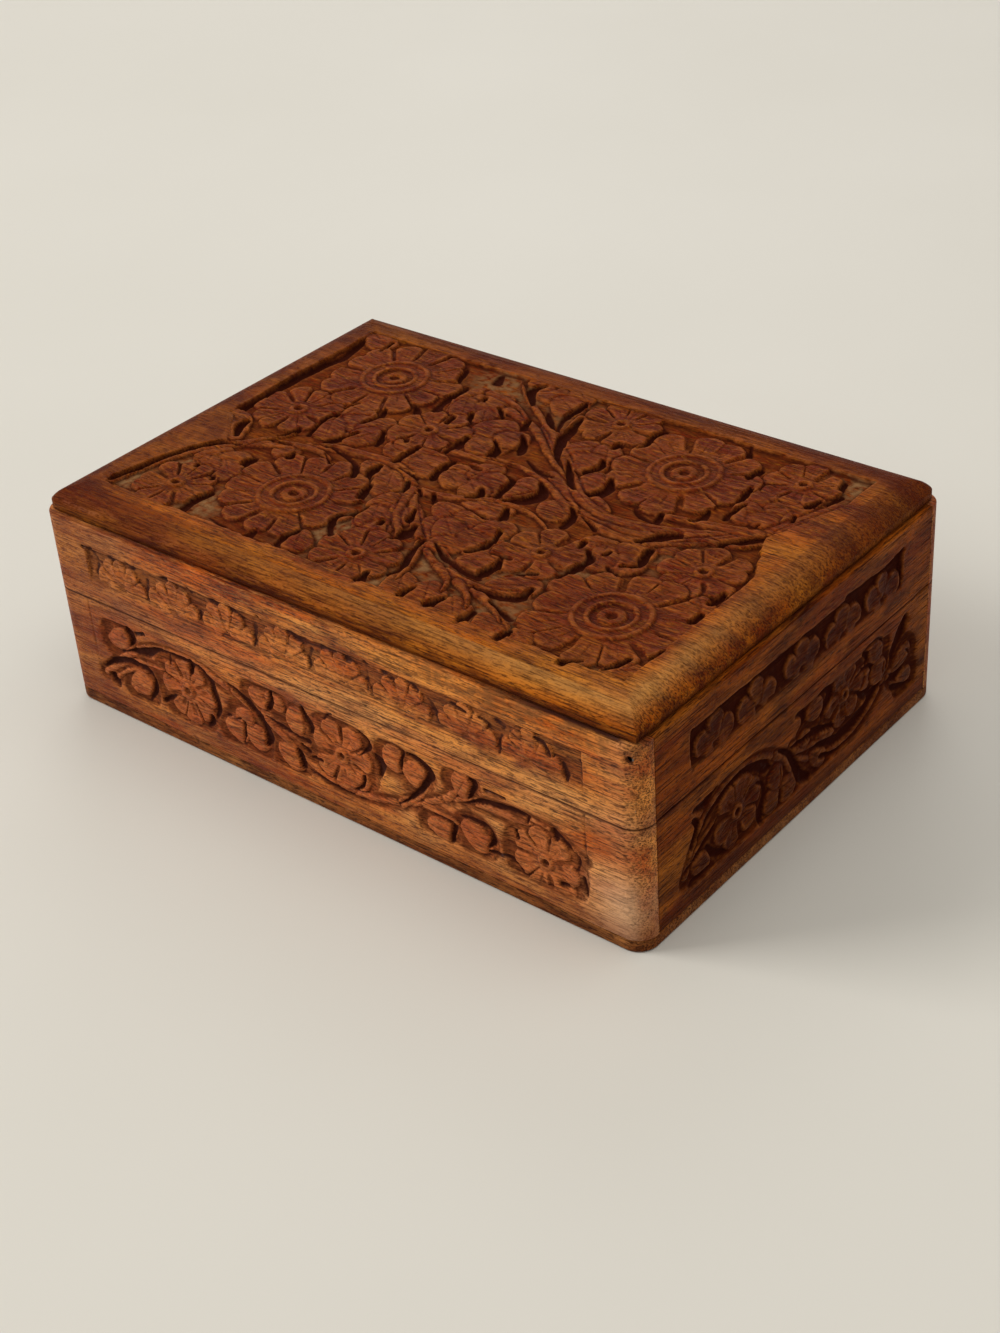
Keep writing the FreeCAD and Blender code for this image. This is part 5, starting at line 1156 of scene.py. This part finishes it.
LONG_BAND_CUTS = [
    [(95.6, 47, 0.14), (95.6, 58, 0.14)], [(-97, 61, 0.5), (-94, 60.8, 0.6)],
    [(-93, 61.5, 0.6), (-92.8, 60, 0.7), (-91.2, 57.5, 0.6), (-92.3, 53, 0.8)],
    [(-84.5, 61, 0.6), (-83.3, 60.8, 0.5)], [(-77.3, 61.3, 0.5), (-75, 60.3, 1.1), (-73.5, 61.3, 0.4)],
    [(-69.3, 57.5, 0.7), (-69.5, 55, 0.6), (-69.8, 51, 0.25)],
    [(-63, 61, 0.3), (-60.3, 61.3, 1), (-59.3, 62, 0.4)], [(-50.6, 61.5, 0.5), (-49.8, 60.3, 0.8)],
    [(-46.6, 55.5, 0.4), (-47, 52.5, 0.4)], [(-41, 60, 0.5), (-39, 59.5, 0.6)],
    [(-33, 60.6, 0.4), (-30, 59.4, 0.6), (-27, 58.6, 0.4)],
    [(-23.6, 58, 0.8), (-23.9, 55, 0.7), (-24.6, 50.5, 0.25)], [(-21.6, 61.6, 0.6), (-20.8, 60.6, 0.4)],
    [(-9.5, 60.8, 0.4), (-6.8, 59.6, 0.8), (-1, 59.4, 0.7), (6, 60, 0.4)],
    [(-1.2, 57.5, 0.8), (-2.3, 54.5, 0.5), (-2.4, 51.3, 0.4)], [(12.7, 59.6, 0.9), (14, 59.3, 0.8)],
    [(20, 61.3, 0.5), (20, 57, 0.6), (20.2, 51.3, 0.3)], [(26, 60.2, 0.4), (29.5, 59, 0.6)],
    [(37, 60, 0.7), (39, 58.7, 0.7)], [(42.5, 57.3, 0.5), (44.2, 55.3, 0.8), (46, 51, 0.3)],
    [(51, 59.2, 0.6), (56, 58.3, 0.5)], [(61, 58.5, 0.6), (64, 57.4, 0.6)],
    [(66.5, 59.5, 0.8), (69, 58.5, 0.8)], [(68.2, 55.5, 0.5), (67.5, 49.5, 0.3)],
    [(71.5, 57.7, 0.5), (75, 56.5, 0.4)], [(80, 59.3, 0.6), (83, 58, 0.9), (84.6, 55.6, 0.6)],
    [(89, 54.5, 0.6), (90, 52, 0.9), (90.3, 49.8, 0.5)], [(90.5, 57.3, 0.6), (95, 57.8, 0.5)],
]
SHORT_VINE_CUTS = [
    [(-53, 34.5, 0.9), (-47, 34, 1.6), (-42, 35.6, 0.5)],
    [(-53.6, 31.5, 0.8), (-51.5, 28.5, 1.5), (-54, 22.5, 0.8)],
    [(-51, 23.6, 0.5), (-46, 28.2, 1.3), (-40, 30.8, 1.3), (-34, 32.8, 1), (-27, 32.3, 1.2),
     (-21.5, 30, 1.6), (-18, 27.5, 2.2), (-15.3, 25.8, 0.7)],
    [(-57.5, 15.6, 0.4), (-51, 19, 1.1), (-45.5, 21.3, 1.5), (-42.3, 24, 0.8)],
    [(-46.3, 17.5, 0.8), (-43.2, 13.5, 1.1), (-38, 10.8, 0.5)],
    [(-55.5, 10.3, 0.4), (-50, 11, 0.6), (-45.5, 10.8, 0.5)],
    [(-22, 24.5, 0.4), (-18.6, 21.8, 0.6), (-18.3, 18, 0.7), (-20.3, 13.5, 1.6), (-20.5, 10.3, 1.2)],
    [(-10.3, 22.8, 0.3), (-10, 19.5, 0.4), (-12, 16.8, 0.3)], [(-10, 14.5, 0.5), (-10.2, 11.3, 0.5)],
    [(-11, 29, 0.4), (-6, 25, 1), (-2.5, 19, 1.4), (0.5, 13, 1.9), (4.5, 10.3, 1.3)],
    [(-3, 36, 0.5), (1, 35, 1.6), (1.5, 31.5, 1.5), (-2, 29.3, 0.5)],
    [(9.5, 36.3, 0.6), (14, 35.8, 1.3), (16.3, 33, 1.6), (12.8, 29.5, 1.2), (12, 27, 0.6)],
    [(-5, 26.3, 0.4), (2, 25.2, 0.9), (9, 24, 1.3), (18, 20.7, 0.5)],
    [(7.5, 19, 0.4), (14, 17, 1.3), (20, 14.6, 1.5), (27, 14.4, 1.7), (34, 16.3, 2), (39, 19, 1.5),
     (43.5, 20.8, 0.7)], [(32.5, 23, 0.7), (35.5, 21.5, 1.5), (38.5, 21, 1.2)],
    [(33.5, 37.3, 0.7), (36.4, 34.5, 0.8), (35.6, 32, 0.5)],
    [(30.5, 30.5, 0.3), (35, 31.2, 0.5), (39, 29.5, 0.6), (37.3, 26, 0.5)],
    [(34, 37.9, 0.4), (41.5, 38, 0.4), (45, 35, 0.4), (45, 32, 0.3)], [(46, 27, 0.4), (45.3, 24.5, 0.4)],
    [(57, 36.3, 2), (54.8, 32.5, 2.8), (51.5, 27, 1.5), (48.3, 22.8, 0.4)],
    [(58.5, 25, 0.3), (60.8, 23, 0.5), (60, 20.5, 0.4)],
    [(48.5, 19.3, 0.5), (53.5, 18.2, 1.5), (59.5, 20.3, 0.5)],
    [(51.5, 15.3, 0.8), (55.5, 13, 1.3), (63, 11, 0.3)],
    [(10.5, 14, 0.7), (16, 11.7, 0.6), (21, 10.8, 0.3)],
]
SHORT_BAND_CUTS = [
    [(-53.4, 61, 0.7), (-53.4, 57, 1), (-53.5, 52.8, 0.7)],
    [(-53, 60.4, 0.8), (-47, 60.2, 0.4), (-41, 60.9, 0.3)],
    [(-39, 60.9, 0.5), (-34, 60.2, 1), (-26, 60.1, 0.6)],
    [(-21, 60.4, 0.4), (-15, 59.4, 0.9), (-9, 59.5, 1.1), (-4.5, 60.2, 0.6)],
    [(-12.3, 58, 0.6), (-11.3, 54.5, 0.6), (-11.4, 51.3, 0.3)],
    [(-6, 61, 0.3), (4, 60.5, 0.7), (8, 58.3, 0.6), (10, 55, 0.6), (9.8, 51.7, 0.5)],
    [(12, 60.7, 0.4), (16.5, 60.2, 0.4)],
    [(23, 61.9, 0.7), (28, 61, 1), (33, 60.5, 1.4), (38.5, 61.2, 0.6)],
    [(30.5, 58.5, 1), (32, 55, 0.7), (33, 52, 0.3)], [(44, 61, 0.5), (49, 61, 1), (54, 61.8, 0.8)],
    [(53, 59.5, 0.9), (53.6, 53.3, 0.3)],
]
print(len(LONG_VINE_CUTS) + len(SHORT_VINE_CUTS), "pockets beside the vines")

# %% [markdown]
# Wear tells a used box from a new one. Dirt settles along the seam and the joints, old oil darkens the
# ends, hands have rubbed the front corner bare, and one nail has been lost. Shade is painted into the gap
# under the panel and into the nail's hole. Each is a share from 0 to 1 on the points of a wall, so the
# wood can show it. The back edges are planed off from the line of the hinge pins, so that the open lid
# leans on them and stops a little past upright.

# %% Wear on the walls
# All in mm, apart from the slope.
PIN_DEPTH = 5.0  # from the back wall's inner face to the line of the hinge pins
PIN_HEIGHT = 41.9
BACK_BEVEL_SLOPE = math.tan(math.radians(51))
SEAM_DIRT = 0.35
LEDGE_DEPTH = 1.7  # of the worn place along the front rail's rim
NAIL_PLACE = (110.5, 64.5)
NAIL_RADIUS = 1.05
NAIL_BOTTOM = 5.6  # of the nail hole, in front of the rail's inner face


def darken(face, share):
    """Darkens the wood with dirt and painted shade where the share is high, unless more lies there already.
    """
    face.marks["shade_and_dirt"] = np.maximum(face.marks["shade_and_dirt"], share)


def dirty_edges(face, seam, end_radius):
    """Dirt along the seam between base and lid, and along the joints at a short wall's ends."""
    nearest = np.abs(face.v - seam)
    if not end_radius:
        nearest = np.minimum(nearest, face.across[-1] - np.abs(face.u))
    darken(face, 0.75 * ease(1.3 - nearest / SEAM_DIRT))


def rubbed_patches(face, is_base):
    """Bare wood where hands and shelves rub the front's lower right corner; dust under the lid's rim."""
    corner = 0.12 * ease((face.u - 95) / 14) + 0.1 * np.exp(-((face.v - PIN_HEIGHT) / 5) ** 2)
    if is_base:
        corner = np.maximum(corner, 0.75 * ease((face.u - 88) / 21) * ease((35 - face.v) / 20))
    else:
        rim = ease((face.v - 62.8) / 2.0) * ease((face.u - 20) / 25) * ease((108 - face.u) / 6)
        face.marks["dusty"] = 0.8 * rim
    face.marks["wear_and_highlight"] = corner * (1 - 0.6 * ease((face.u - 110) / 3.5))


def darkened_ends(face, is_base):
    """Old oil lies darker toward a long wall's left end, and the wood is darker along the foot of the base.
    """
    left = 0.55 * ease((-face.u - 35) / 60)
    foot = 0.5 * ease((13 - face.v) / 8) if is_base else 0.0
    face.marks["stain_and_shade"] = np.maximum(left, foot) * (1 - 0.6 * face.marks["carved"])


def back_bevel(face, out, is_base):
    """Planes the back wall's edge off from the hinge pin's line, which is what stops the open lid."""
    from_pin = PIN_HEIGHT - face.v if is_base else face.v - PIN_HEIGHT
    return np.minimum(out, PIN_DEPTH + from_pin / BACK_BEVEL_SLOPE)


def worn_ledge(face, out):
    """Wears the rim of the front rail down toward its right end, with painted shade in the gap under the
    panel.
    """
    ledge = ease((face.u - 55) / 30) * ease((110 - face.u) / 4)
    darken(face, ledge * ease((face.v - 68.0) / 0.6))
    return out - LEDGE_DEPTH * ledge * ease((face.v - 66.6) / 2.2)


def nail_hole(face, out):
    """The open hole of a lost nail near the top of the front corner, painted dark inside as shade."""
    u, v = NAIL_PLACE
    hole = ease((NAIL_RADIUS + 0.2 - np.hypot(face.u - u, face.v - v)) / 0.4)
    darken(face, hole)
    return out * (1 - hole) + np.minimum(out, NAIL_BOTTOM) * hole


print("seam dirt", SEAM_DIRT, "mm, nail hole", 2 * NAIL_RADIUS, "mm wide")

# %% [markdown]
# A wall is carved as the panel is: the ground first, then stems, leaves, flowers and pockets, and wear
# last, because it depends on what was cut. The ground of the vine follows its forms, and the ground of
# the band is deepest under its crisp upper edge and comes up to nothing at its foot.

# %% One wall and one rail
# All in mm.
VINE_LOW = 9.0
VINE_HIGH = 37.0
VINE_GROUND = 1.0
VINE_DEPTH = 1.6  # of the pockets beside the vine
VINE_HALO = 4.0  # how far the ground is sunk round the forms
BAND_LOW = 48.0
BAND_HIGH = 61.8


def finish_wall(name, node_name, body, face, out, place, wood):
    """Turns a carved wall into a board that stands for its CAD node."""
    board = board_from_heights(name, face, out, place)
    board.data.materials.append(wood)
    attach(board, body)
    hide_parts(node_name)
    return board


def carve_wall(side, place, design):
    """One side's base wall: a vine, with the ground sunk only round its forms."""
    half = design["half"]
    end_radius = design["end_radius"]
    up = height_lines(front_low[2], front_high[2])
    wall = CarvedFace(wall_lines(-half, half, end_radius), up, WALL_CELL)
    out = blank_out(wall, end_radius)
    in_band = ease((VINE_HIGH - wall.v) / 1.2) * ease((wall.v - VINE_LOW) / 1.5)
    wall.sink(VINE_GROUND * drawing_halo(wall, design["vine"], VINE_HALO) * in_band)
    for stem in design["vine"]["stems"]:
        carve_stem(wall, *stem)
    for lobe in design["vine"]["lobes"]:
        carve_lobe(wall, *lobe)
    for flower in design["vine"]["flowers"]:
        carve_flower(wall, *flower)
    for pocket in design["vine_cuts"]:
        wall.cut_pocket(pocket, VINE_DEPTH)
    wall.pocket *= design["vine_pocket_shade"]
    finish_face(wall)
    # Painted shade: the vine's sunk ground is painted darker.
    darken(wall, 0.45 * wall.marks["floor"])
    # Painted shade: a wall is painted darker toward its foot.
    wall.marks["stain_and_shade"] = 0.75 * ease((10 - wall.v) / 6)
    if end_radius:
        darkened_ends(wall, True)
    dirty_edges(wall, front_high[2], end_radius)
    out = out + wall.height
    if side == "front":
        rubbed_patches(wall, True)
    if side == "back":
        out = back_bevel(wall, out, True)
    return finish_wall(f"base_{side}_wall", f"base_{side}_board", "base", wall, out, place, design["wood"])


def carve_rail(side, place, design):
    """One side's rail of the lid: a sunk band of half flowers that comes up to nothing at its foot."""
    half = design["half"]
    end_radius = design["end_radius"]
    up = height_lines(rail_low[2], rail_high[2])
    rail = CarvedFace(wall_lines(-half, half, end_radius), up, WALL_CELL)
    out = blank_out(rail, end_radius)
    sides = np.minimum(design["band_half"] - np.abs(rail.u), BAND_HIGH - rail.v) + rail.jitter
    rail.sink(design["band_depth"] * ease(sides / 1.2) * ease((rail.v - BAND_LOW) / 5))
    for flower in design["band_flowers"]:
        carve_scallop(rail, *flower)
    for pocket in design["band_cuts"]:
        rail.cut_pocket(pocket, design["band_depth"] + 0.2)
    rail.pocket *= design["band_pocket_shade"]
    finish_face(rail)
    # Painted shade: the band's sunk ground is painted darker, most on the short sides.
    darken(rail, design["band_ground_shade"] * rail.marks["floor"])
    if end_radius:
        rail.marks["floor"] *= 0.3
        rail.marks["carved"] *= 0.5
        darkened_ends(rail, False)
    dirty_edges(rail, rail_low[2], end_radius)
    out = out + rail.height
    if side == "front":
        rubbed_patches(rail, False)
        out = nail_hole(rail, worn_ledge(rail, out))
    if side == "back":
        out = back_bevel(rail, out, False)
    return finish_wall(f"lid_{side}_band", f"lid_{side}_rail", "lid", rail, out, place, design["wood"])


print("vine from", VINE_LOW, "to", VINE_HIGH, "mm, band from", BAND_LOW, "to", BAND_HIGH, "mm")

# %% [markdown]
# All eight pieces are made by the same two functions. A design holds what differs between the long and
# the short sides: their size, wood and drawing, how deep the band is, and how dark its ground and
# pockets are painted as shade.

# %% Carve the walls
CORNER_RADIUS = 6.5  # mm, of the long walls' rounded ends
LONG_SIDE = {
    "half": HALF_LENGTH, "end_radius": CORNER_RADIUS, "wood": long_wood,
    "vine": LONG_VINE, "vine_cuts": LONG_VINE_CUTS, "vine_pocket_shade": 0.8,
    "band_flowers": LONG_BAND_FLOWERS, "band_cuts": LONG_BAND_CUTS, "band_pocket_shade": 0.6,
    "band_half": 96.0, "band_depth": 0.95, "band_ground_shade": 0.5,
}
SHORT_SIDE = {
    "half": INNER_HALF_DEPTH, "end_radius": 0, "wood": short_wood,
    "vine": SHORT_VINE, "vine_cuts": SHORT_VINE_CUTS, "vine_pocket_shade": 1.0,
    "band_flowers": SHORT_BAND_FLOWERS, "band_cuts": SHORT_BAND_CUTS, "band_pocket_shade": 1.0,
    "band_half": 54.5, "band_depth": 1.35, "band_ground_shade": 0.85,
}
WALLS = [
    ("front", FRONT_PLACE, LONG_SIDE),
    ("back", BACK_PLACE, LONG_SIDE),
    ("left", LEFT_PLACE, SHORT_SIDE),
    ("right", RIGHT_PLACE, SHORT_SIDE),
]
walls = {}
for side, place, design in WALLS:
    walls["base_" + side] = carve_wall(side, place, design)
    walls["lid_" + side] = carve_rail(side, place, design)
print("carved walls and rails:", len(walls))

# %% [markdown]
# The hinges lie in mortises in the back wall and the back rail. A mortise is a hole with square corners,
# which a grid of heights can't hold, so it is cut with a Boolean: a box for the leaf and a rod for the
# barrel, each a little larger than the brass.

# %% Hinge mortises
# Sizes in mm.
HINGE_ROOM = 0.2
LEAF_THICKNESS = 0.8
BARREL_RADIUS = 1.8
BARREL_SIDES = 48
PIN_PLACE = INNER_HALF_DEPTH + PIN_DEPTH
for side in ("left", "right"):
    for body, leaf in (("base", "base_leaf"), ("lid", "lid_leaf")):
        low, high = box_mm(f"{side}_hinge_{leaf}")
        wall = walls[f"{body}_back"]
        leaf_low = PIN_HEIGHT - LEAF_THICKNESS - HINGE_ROOM if body == "base" else PIN_HEIGHT
        leaf_high = PIN_HEIGHT if body == "base" else PIN_HEIGHT + LEAF_THICKNESS + HINGE_ROOM
        corner = np.array([low[0] - HINGE_ROOM, low[1] - HINGE_ROOM, leaf_low])
        size = np.array([high[0] + HINGE_ROOM, PIN_PLACE, leaf_high]) - corner
        bpy.ops.object.select_all(action="DESELECT")
        bpy.ops.mesh.primitive_cube_add(size=MM, location=(corner + size / 2) * MM, scale=size)
        leaf_cutter = bpy.context.object
        barrel_middle = ((corner[0] + size[0] / 2) * MM, PIN_PLACE * MM, PIN_HEIGHT * MM)
        bpy.ops.mesh.primitive_cylinder_add(
            vertices=BARREL_SIDES, radius=BARREL_RADIUS * MM, depth=size[0] * MM,
            rotation=(0, math.pi / 2, 0), location=barrel_middle)
        for cutter in (leaf_cutter, bpy.context.object):
            bpy.context.view_layer.objects.active = wall
            cut = wall.modifiers.new("mortise", "BOOLEAN")
            cut.operation = "DIFFERENCE"
            cut.solver = "EXACT"
            cut.object = cutter
            bpy.ops.object.modifier_apply(modifier=cut.name)
            bpy.data.objects.remove(cutter)
print("back wall after its mortises:", len(walls["base_back"].data.polygons), "faces")

# %% [markdown]
# The bottom is a thin board under the walls with the same rounded corners. A cube is made to its size,
# its upright edges are bevelled to the corner radius and its rims are rubbed round with a second bevel.

# %% Bottom board
bottom_low, bottom_high = box_mm("bottom_panel")
BOTTOM_RUB = 0.6  # mm
BOTTOM_CREASE = math.radians(35)
bpy.ops.object.select_all(action="DESELECT")
bottom_middle = (bottom_low + bottom_high) / 2 * MM
bpy.ops.mesh.primitive_cube_add(size=MM, location=bottom_middle, scale=bottom_high - bottom_low)
bottom = bpy.context.object
bottom.name = "bottom_board"
bpy.ops.object.transform_apply(location=True, rotation=True, scale=True)
bpy.ops.object.mode_set(mode="EDIT")
bpy.ops.mesh.select_mode(type="EDGE")
bpy.ops.mesh.select_all(action="DESELECT")
bpy.ops.object.mode_set(mode="OBJECT")
for edge in bottom.data.edges:
    first, second = (bottom.data.vertices[i].co for i in edge.vertices)
    edge.select = abs(first.z - second.z) > MM
bpy.ops.object.mode_set(mode="EDIT")
bpy.ops.mesh.bevel(offset=CORNER_RADIUS * MM, segments=10, affect="EDGES")
bpy.ops.object.mode_set(mode="OBJECT")
rub = bottom.modifiers.new("rubbed_rims", "BEVEL")
rub.width = BOTTOM_RUB * MM
rub.segments = 3
rub.limit_method = "ANGLE"
rub.angle_limit = math.radians(60)
bpy.ops.object.modifier_apply(modifier=rub.name)
bpy.ops.object.shade_smooth_by_angle(angle=BOTTOM_CREASE)
BOTTOM_TONES = SHARED_TONES | {
    "dark": "#7A3E1A", "pale": "#9A5A2A", "glow": "#AA6E3A", "stain": "#5A2A12", "carved": "#7A3E1A",
}
bottom_wood = oiled_sheesham("sheesham_bottom", 0.0, BOTTOM_TONES, SOFT_GLOSS)
bottom.data.materials.append(bottom_wood)
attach(bottom, "base")
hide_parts("bottom_panel")
print("bottom board:", len(bottom.data.polygons), "faces")

# %% [markdown]
# A lining of felt lies on the floor and another is glued inside the lid. Felt is wool pressed into a
# thin sheet: dull, soft at its cut edge and slightly uneven, with a nap that catches light at its rim.
# Each is a fine grid that is lifted a little here and there and closed behind, as the boards are.

# %% Felt linings
FIBRE_MM = 0.8
CLOUD_MM = 18
NAP_SHEEN = 0.25
FELT_COLUMNS = 106  # about one cell to 2 mm
FELT_ROWS = 70
FELT_DENT = 0.12  # mm, how uneven the open side is
DEEPEST_DENT = 0.4
CUT_EDGE = 0.35  # mm, how far the cut edge is pressed down


def pressed_felt(name, colour, shade):
    """Dyed wool felt: no gloss, small tangled fibres, a faint sheen from the nap."""
    material, tree, shader = empty_material(name)
    place = add(tree, "TexCoord").outputs["Object"]
    tangle = {"Vector": place, "Scale": 1000 / FIBRE_MM, "Detail": 4.0, "Roughness": 0.7}
    fibres = add(tree, "TexNoise", tangle)
    clouds = add(tree, "TexNoise", {"Vector": place, "Scale": 1000 / CLOUD_MM, "Detail": 3.0})
    share = add(tree, "Math", {0: fibres.outputs["Fac"], 1: clouds.outputs["Fac"]}, operation="MULTIPLY")
    share = add(tree, "MapRange", {"Value": share.outputs[0], "From Min": 0.1, "From Max": 0.42})
    tone = add(tree, "MixRGB", {"Fac": share.outputs[0], "Color1": linear(shade), "Color2": linear(colour)})
    bump = add(tree, "Bump", {"Height": fibres.outputs["Fac"], "Strength": 0.6, "Distance": 0.0004})
    rough = add(tree, "MapRange", {"Value": clouds.outputs["Fac"], "To Min": 0.88, "To Max": 0.98})
    for socket, value in (("Base Color", tone), ("Roughness", rough), ("Normal", bump)):
        tree.links.new(value.outputs[0], shader.inputs[socket])
    shader.inputs["Sheen Weight"].default_value = NAP_SHEEN
    shader.inputs["Sheen Roughness"].default_value = 0.5
    return material


felt = pressed_felt("wine_felt", "#6B1F22", "#471013")


def felt_sheet(name, node_name, body, face_up):
    """A sheet of felt in its CAD node's place, a little uneven on its open side."""
    low, high = box_mm(node_name)
    bpy.ops.object.select_all(action="DESELECT")
    bpy.ops.mesh.primitive_grid_add(x_subdivisions=FELT_COLUMNS, y_subdivisions=FELT_ROWS, size=MM)
    bpy.ops.transform.resize(value=(*(high - low)[:2], 1))
    sheet = bpy.context.object
    sheet.name = name
    bpy.ops.object.transform_apply(location=True, rotation=True, scale=True)
    shape = (FELT_ROWS + 1, FELT_COLUMNS + 1)
    at_edge = np.ones(shape)
    at_edge[1:-1, 1:-1] = 0
    dents = np.clip(FELT_DENT * np.abs(unevenness(shape, 3)), 0, DEEPEST_DENT)
    lift = (high - low)[2] - dents - CUT_EDGE * at_edge
    points = np.array([v.co for v in sheet.data.vertices])
    points[:, 2] = lift.ravel() * MM
    sheet.data.vertices.foreach_set("co", points.ravel())
    close_behind(sheet, shape, [(1, 1, 0)])
    turn = Matrix() if face_up else Matrix.Rotation(math.pi, 4, "X")
    glued_side = low[2] if face_up else high[2]
    sheet.matrix_world = Matrix.Translation((0, 0, glued_side * MM)) @ turn
    bpy.ops.object.transform_apply(location=True, rotation=True, scale=True)
    bpy.ops.object.shade_smooth_by_angle(angle=math.radians(40))
    sheet.data.materials.append(felt)
    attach(sheet, body)
    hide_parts(node_name)
    return sheet


floor_felt = felt_sheet("floor_felt", "floor_lining", "base", True)
lid_felt = felt_sheet("lid_felt", "lid_lining", "lid", False)
print("felt:", floor_felt.name, lid_felt.name)

# %% [markdown]
# The hinges, their screws and the brads keep their CAD shapes, which are right as they are. Old brass is
# yellow metal gone brown in patches, and brads are drawn steel wire with a grey, slightly rusty skin.

# %% Brass and steel
PATCH_MM = 4.0


def tarnished_metal(name, bright, dull, grain_mm, low_rough, high_rough):
    """Metal with a thin uneven skin: clear where it rubs, brown or grey where it does not."""
    material, tree, shader = empty_material(name)
    place = add(tree, "TexCoord").outputs["Object"]
    patches = add(tree, "TexNoise", {"Vector": place, "Scale": 1000 / PATCH_MM, "Detail": 4.0})
    scratches = add(tree, "TexNoise", {"Vector": place, "Scale": 1000 / grain_mm, "Detail": 2.0})
    skin = add(tree, "MapRange", {"Value": patches.outputs["Fac"], "From Min": 0.38, "From Max": 0.62})
    tone = add(tree, "MixRGB", {"Fac": skin.outputs[0], "Color1": linear(bright), "Color2": linear(dull)})
    rough = add(tree, "MapRange", {"Value": skin.outputs[0], "To Min": low_rough, "To Max": high_rough})
    bump = add(tree, "Bump", {"Height": scratches.outputs["Fac"], "Strength": 0.2, "Distance": 0.0001})
    for socket, value in (("Base Color", tone), ("Roughness", rough), ("Normal", bump)):
        tree.links.new(value.outputs[0], shader.inputs[socket])
    shader.inputs["Metallic"].default_value = 1.0
    return material


brass = tarnished_metal("tarnished_brass", "#C9A050", "#7E5C2C", 0.5, 0.28, 0.5)
steel = tarnished_metal("brad_steel", "#8C8A86", "#5A4A40", 0.4, 0.35, 0.6)
for node_name, cad_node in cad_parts.items():
    if "hinge" in node_name or "brads" in node_name:
        cad_node.material_slots[0].material = brass if "hinge" in node_name else steel
print("metal parts:", [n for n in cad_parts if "hinge" in n or "brads" in n])

# %% [markdown]
# The box stands on a plain pale table top that runs on past the picture. A large soft lamp stands for a
# window at the front left, so that the right wall falls into shade and the cuts throw short shadows. A
# weak one behind on the left lifts the far edges, and a broad one overhead does what a pale ceiling
# does. Three lamps are easier to balance than an environment picture, and nothing has to be read from a
# file.

# %% Floor and light
PAINT_CLOUD_MM = 220
TABLE_SIZE = 30  # metres
TABLE_GAP = 0.0001  # metres below the box, so that the two faces don't flicker
ROOM_LIGHT = 0.42


def satin_paint(name, colour, worn_colour):
    """A painted table top: even, pale, with a low satin sheen."""
    material, tree, shader = empty_material(name)
    place = add(tree, "TexCoord").outputs["Object"]
    clouds = add(tree, "TexNoise", {"Vector": place, "Scale": 1000 / PAINT_CLOUD_MM, "Detail": 3.0})
    colours = {"Fac": clouds.outputs["Fac"], "Color1": linear(colour), "Color2": linear(worn_colour)}
    tone = add(tree, "MixRGB", colours)
    rough = add(tree, "MapRange", {"Value": clouds.outputs["Fac"], "To Min": 0.5, "To Max": 0.65})
    tree.links.new(tone.outputs[0], shader.inputs["Base Color"])
    tree.links.new(rough.outputs[0], shader.inputs["Roughness"])
    return material


bpy.ops.object.select_all(action="DESELECT")
bpy.ops.mesh.primitive_plane_add(size=TABLE_SIZE, location=(0, 0, cad_low.z - TABLE_GAP))
floor = bpy.context.object
floor.name = "table_top"
bpy.ops.object.transform_apply(location=True, rotation=True, scale=True)
floor.data.materials.append(satin_paint("satin_paint", "#D9D4C9", "#D2CDC1"))

world = bpy.data.worlds.new("studio")
bpy.context.scene.world = world
world.use_nodes = True
background = world.node_tree.nodes["Background"]
background.inputs["Color"].default_value = linear("#F2F0EC")
background.inputs["Strength"].default_value = ROOM_LIGHT


def softbox(name, place, size, power):
    """A square lamp that faces the box."""
    bpy.ops.object.light_add(type="AREA", location=place)
    lamp = bpy.context.object
    lamp.name = name
    lamp.data.size = size
    lamp.data.energy = power
    lamp.rotation_euler = (-lamp.location).to_track_quat("-Z", "Y").to_euler()
    return lamp


softbox("window_light", (-2.5, -1.75, 1.95), 1.6, 85)
softbox("wall_light", (-1.7, 2.3, 1.7), 1.7, 12)
softbox("ceiling_light", (0.6, 0.3, 3.0), 3.0, 38)
print("floor and lights ready")

# %% [markdown]
# The camera stands where the photograph was taken from: it was found by matching the box's corners, and
# it looks down at the front corner with a slight roll.

# %% Camera
AZIMUTH = math.radians(41.350)
PITCH = math.radians(33.622)
ROLL = math.radians(-4.333)
FOCAL_PIXELS = 2165.13
LONG_SIDE_PIXELS = 1333
SENSOR_MM = 36.0
STANDPOINT = (0.38021, -0.42976, 0.39066)
bpy.ops.object.camera_add(location=STANDPOINT)
camera = bpy.context.object
level = math.cos(PITCH)
forward = np.array([-math.sin(AZIMUTH) * level, math.cos(AZIMUTH) * level, -math.sin(PITCH)])
right = np.cross(forward, (0, 0, 1))
right /= np.linalg.norm(right)
upward = np.cross(right, forward)
rolled_right = math.cos(ROLL) * right + math.sin(ROLL) * upward
rolled_up = math.cos(ROLL) * upward - math.sin(ROLL) * right
turned = Matrix(np.column_stack([rolled_right, rolled_up, -forward]).tolist())
camera.rotation_euler = turned.to_euler()
camera.data.sensor_width = SENSOR_MM
camera.data.lens = FOCAL_PIXELS / LONG_SIDE_PIXELS * SENSOR_MM
camera.data.clip_start = 0.01
bpy.context.scene.camera = camera
print("lens", round(camera.data.lens, 2), "mm")
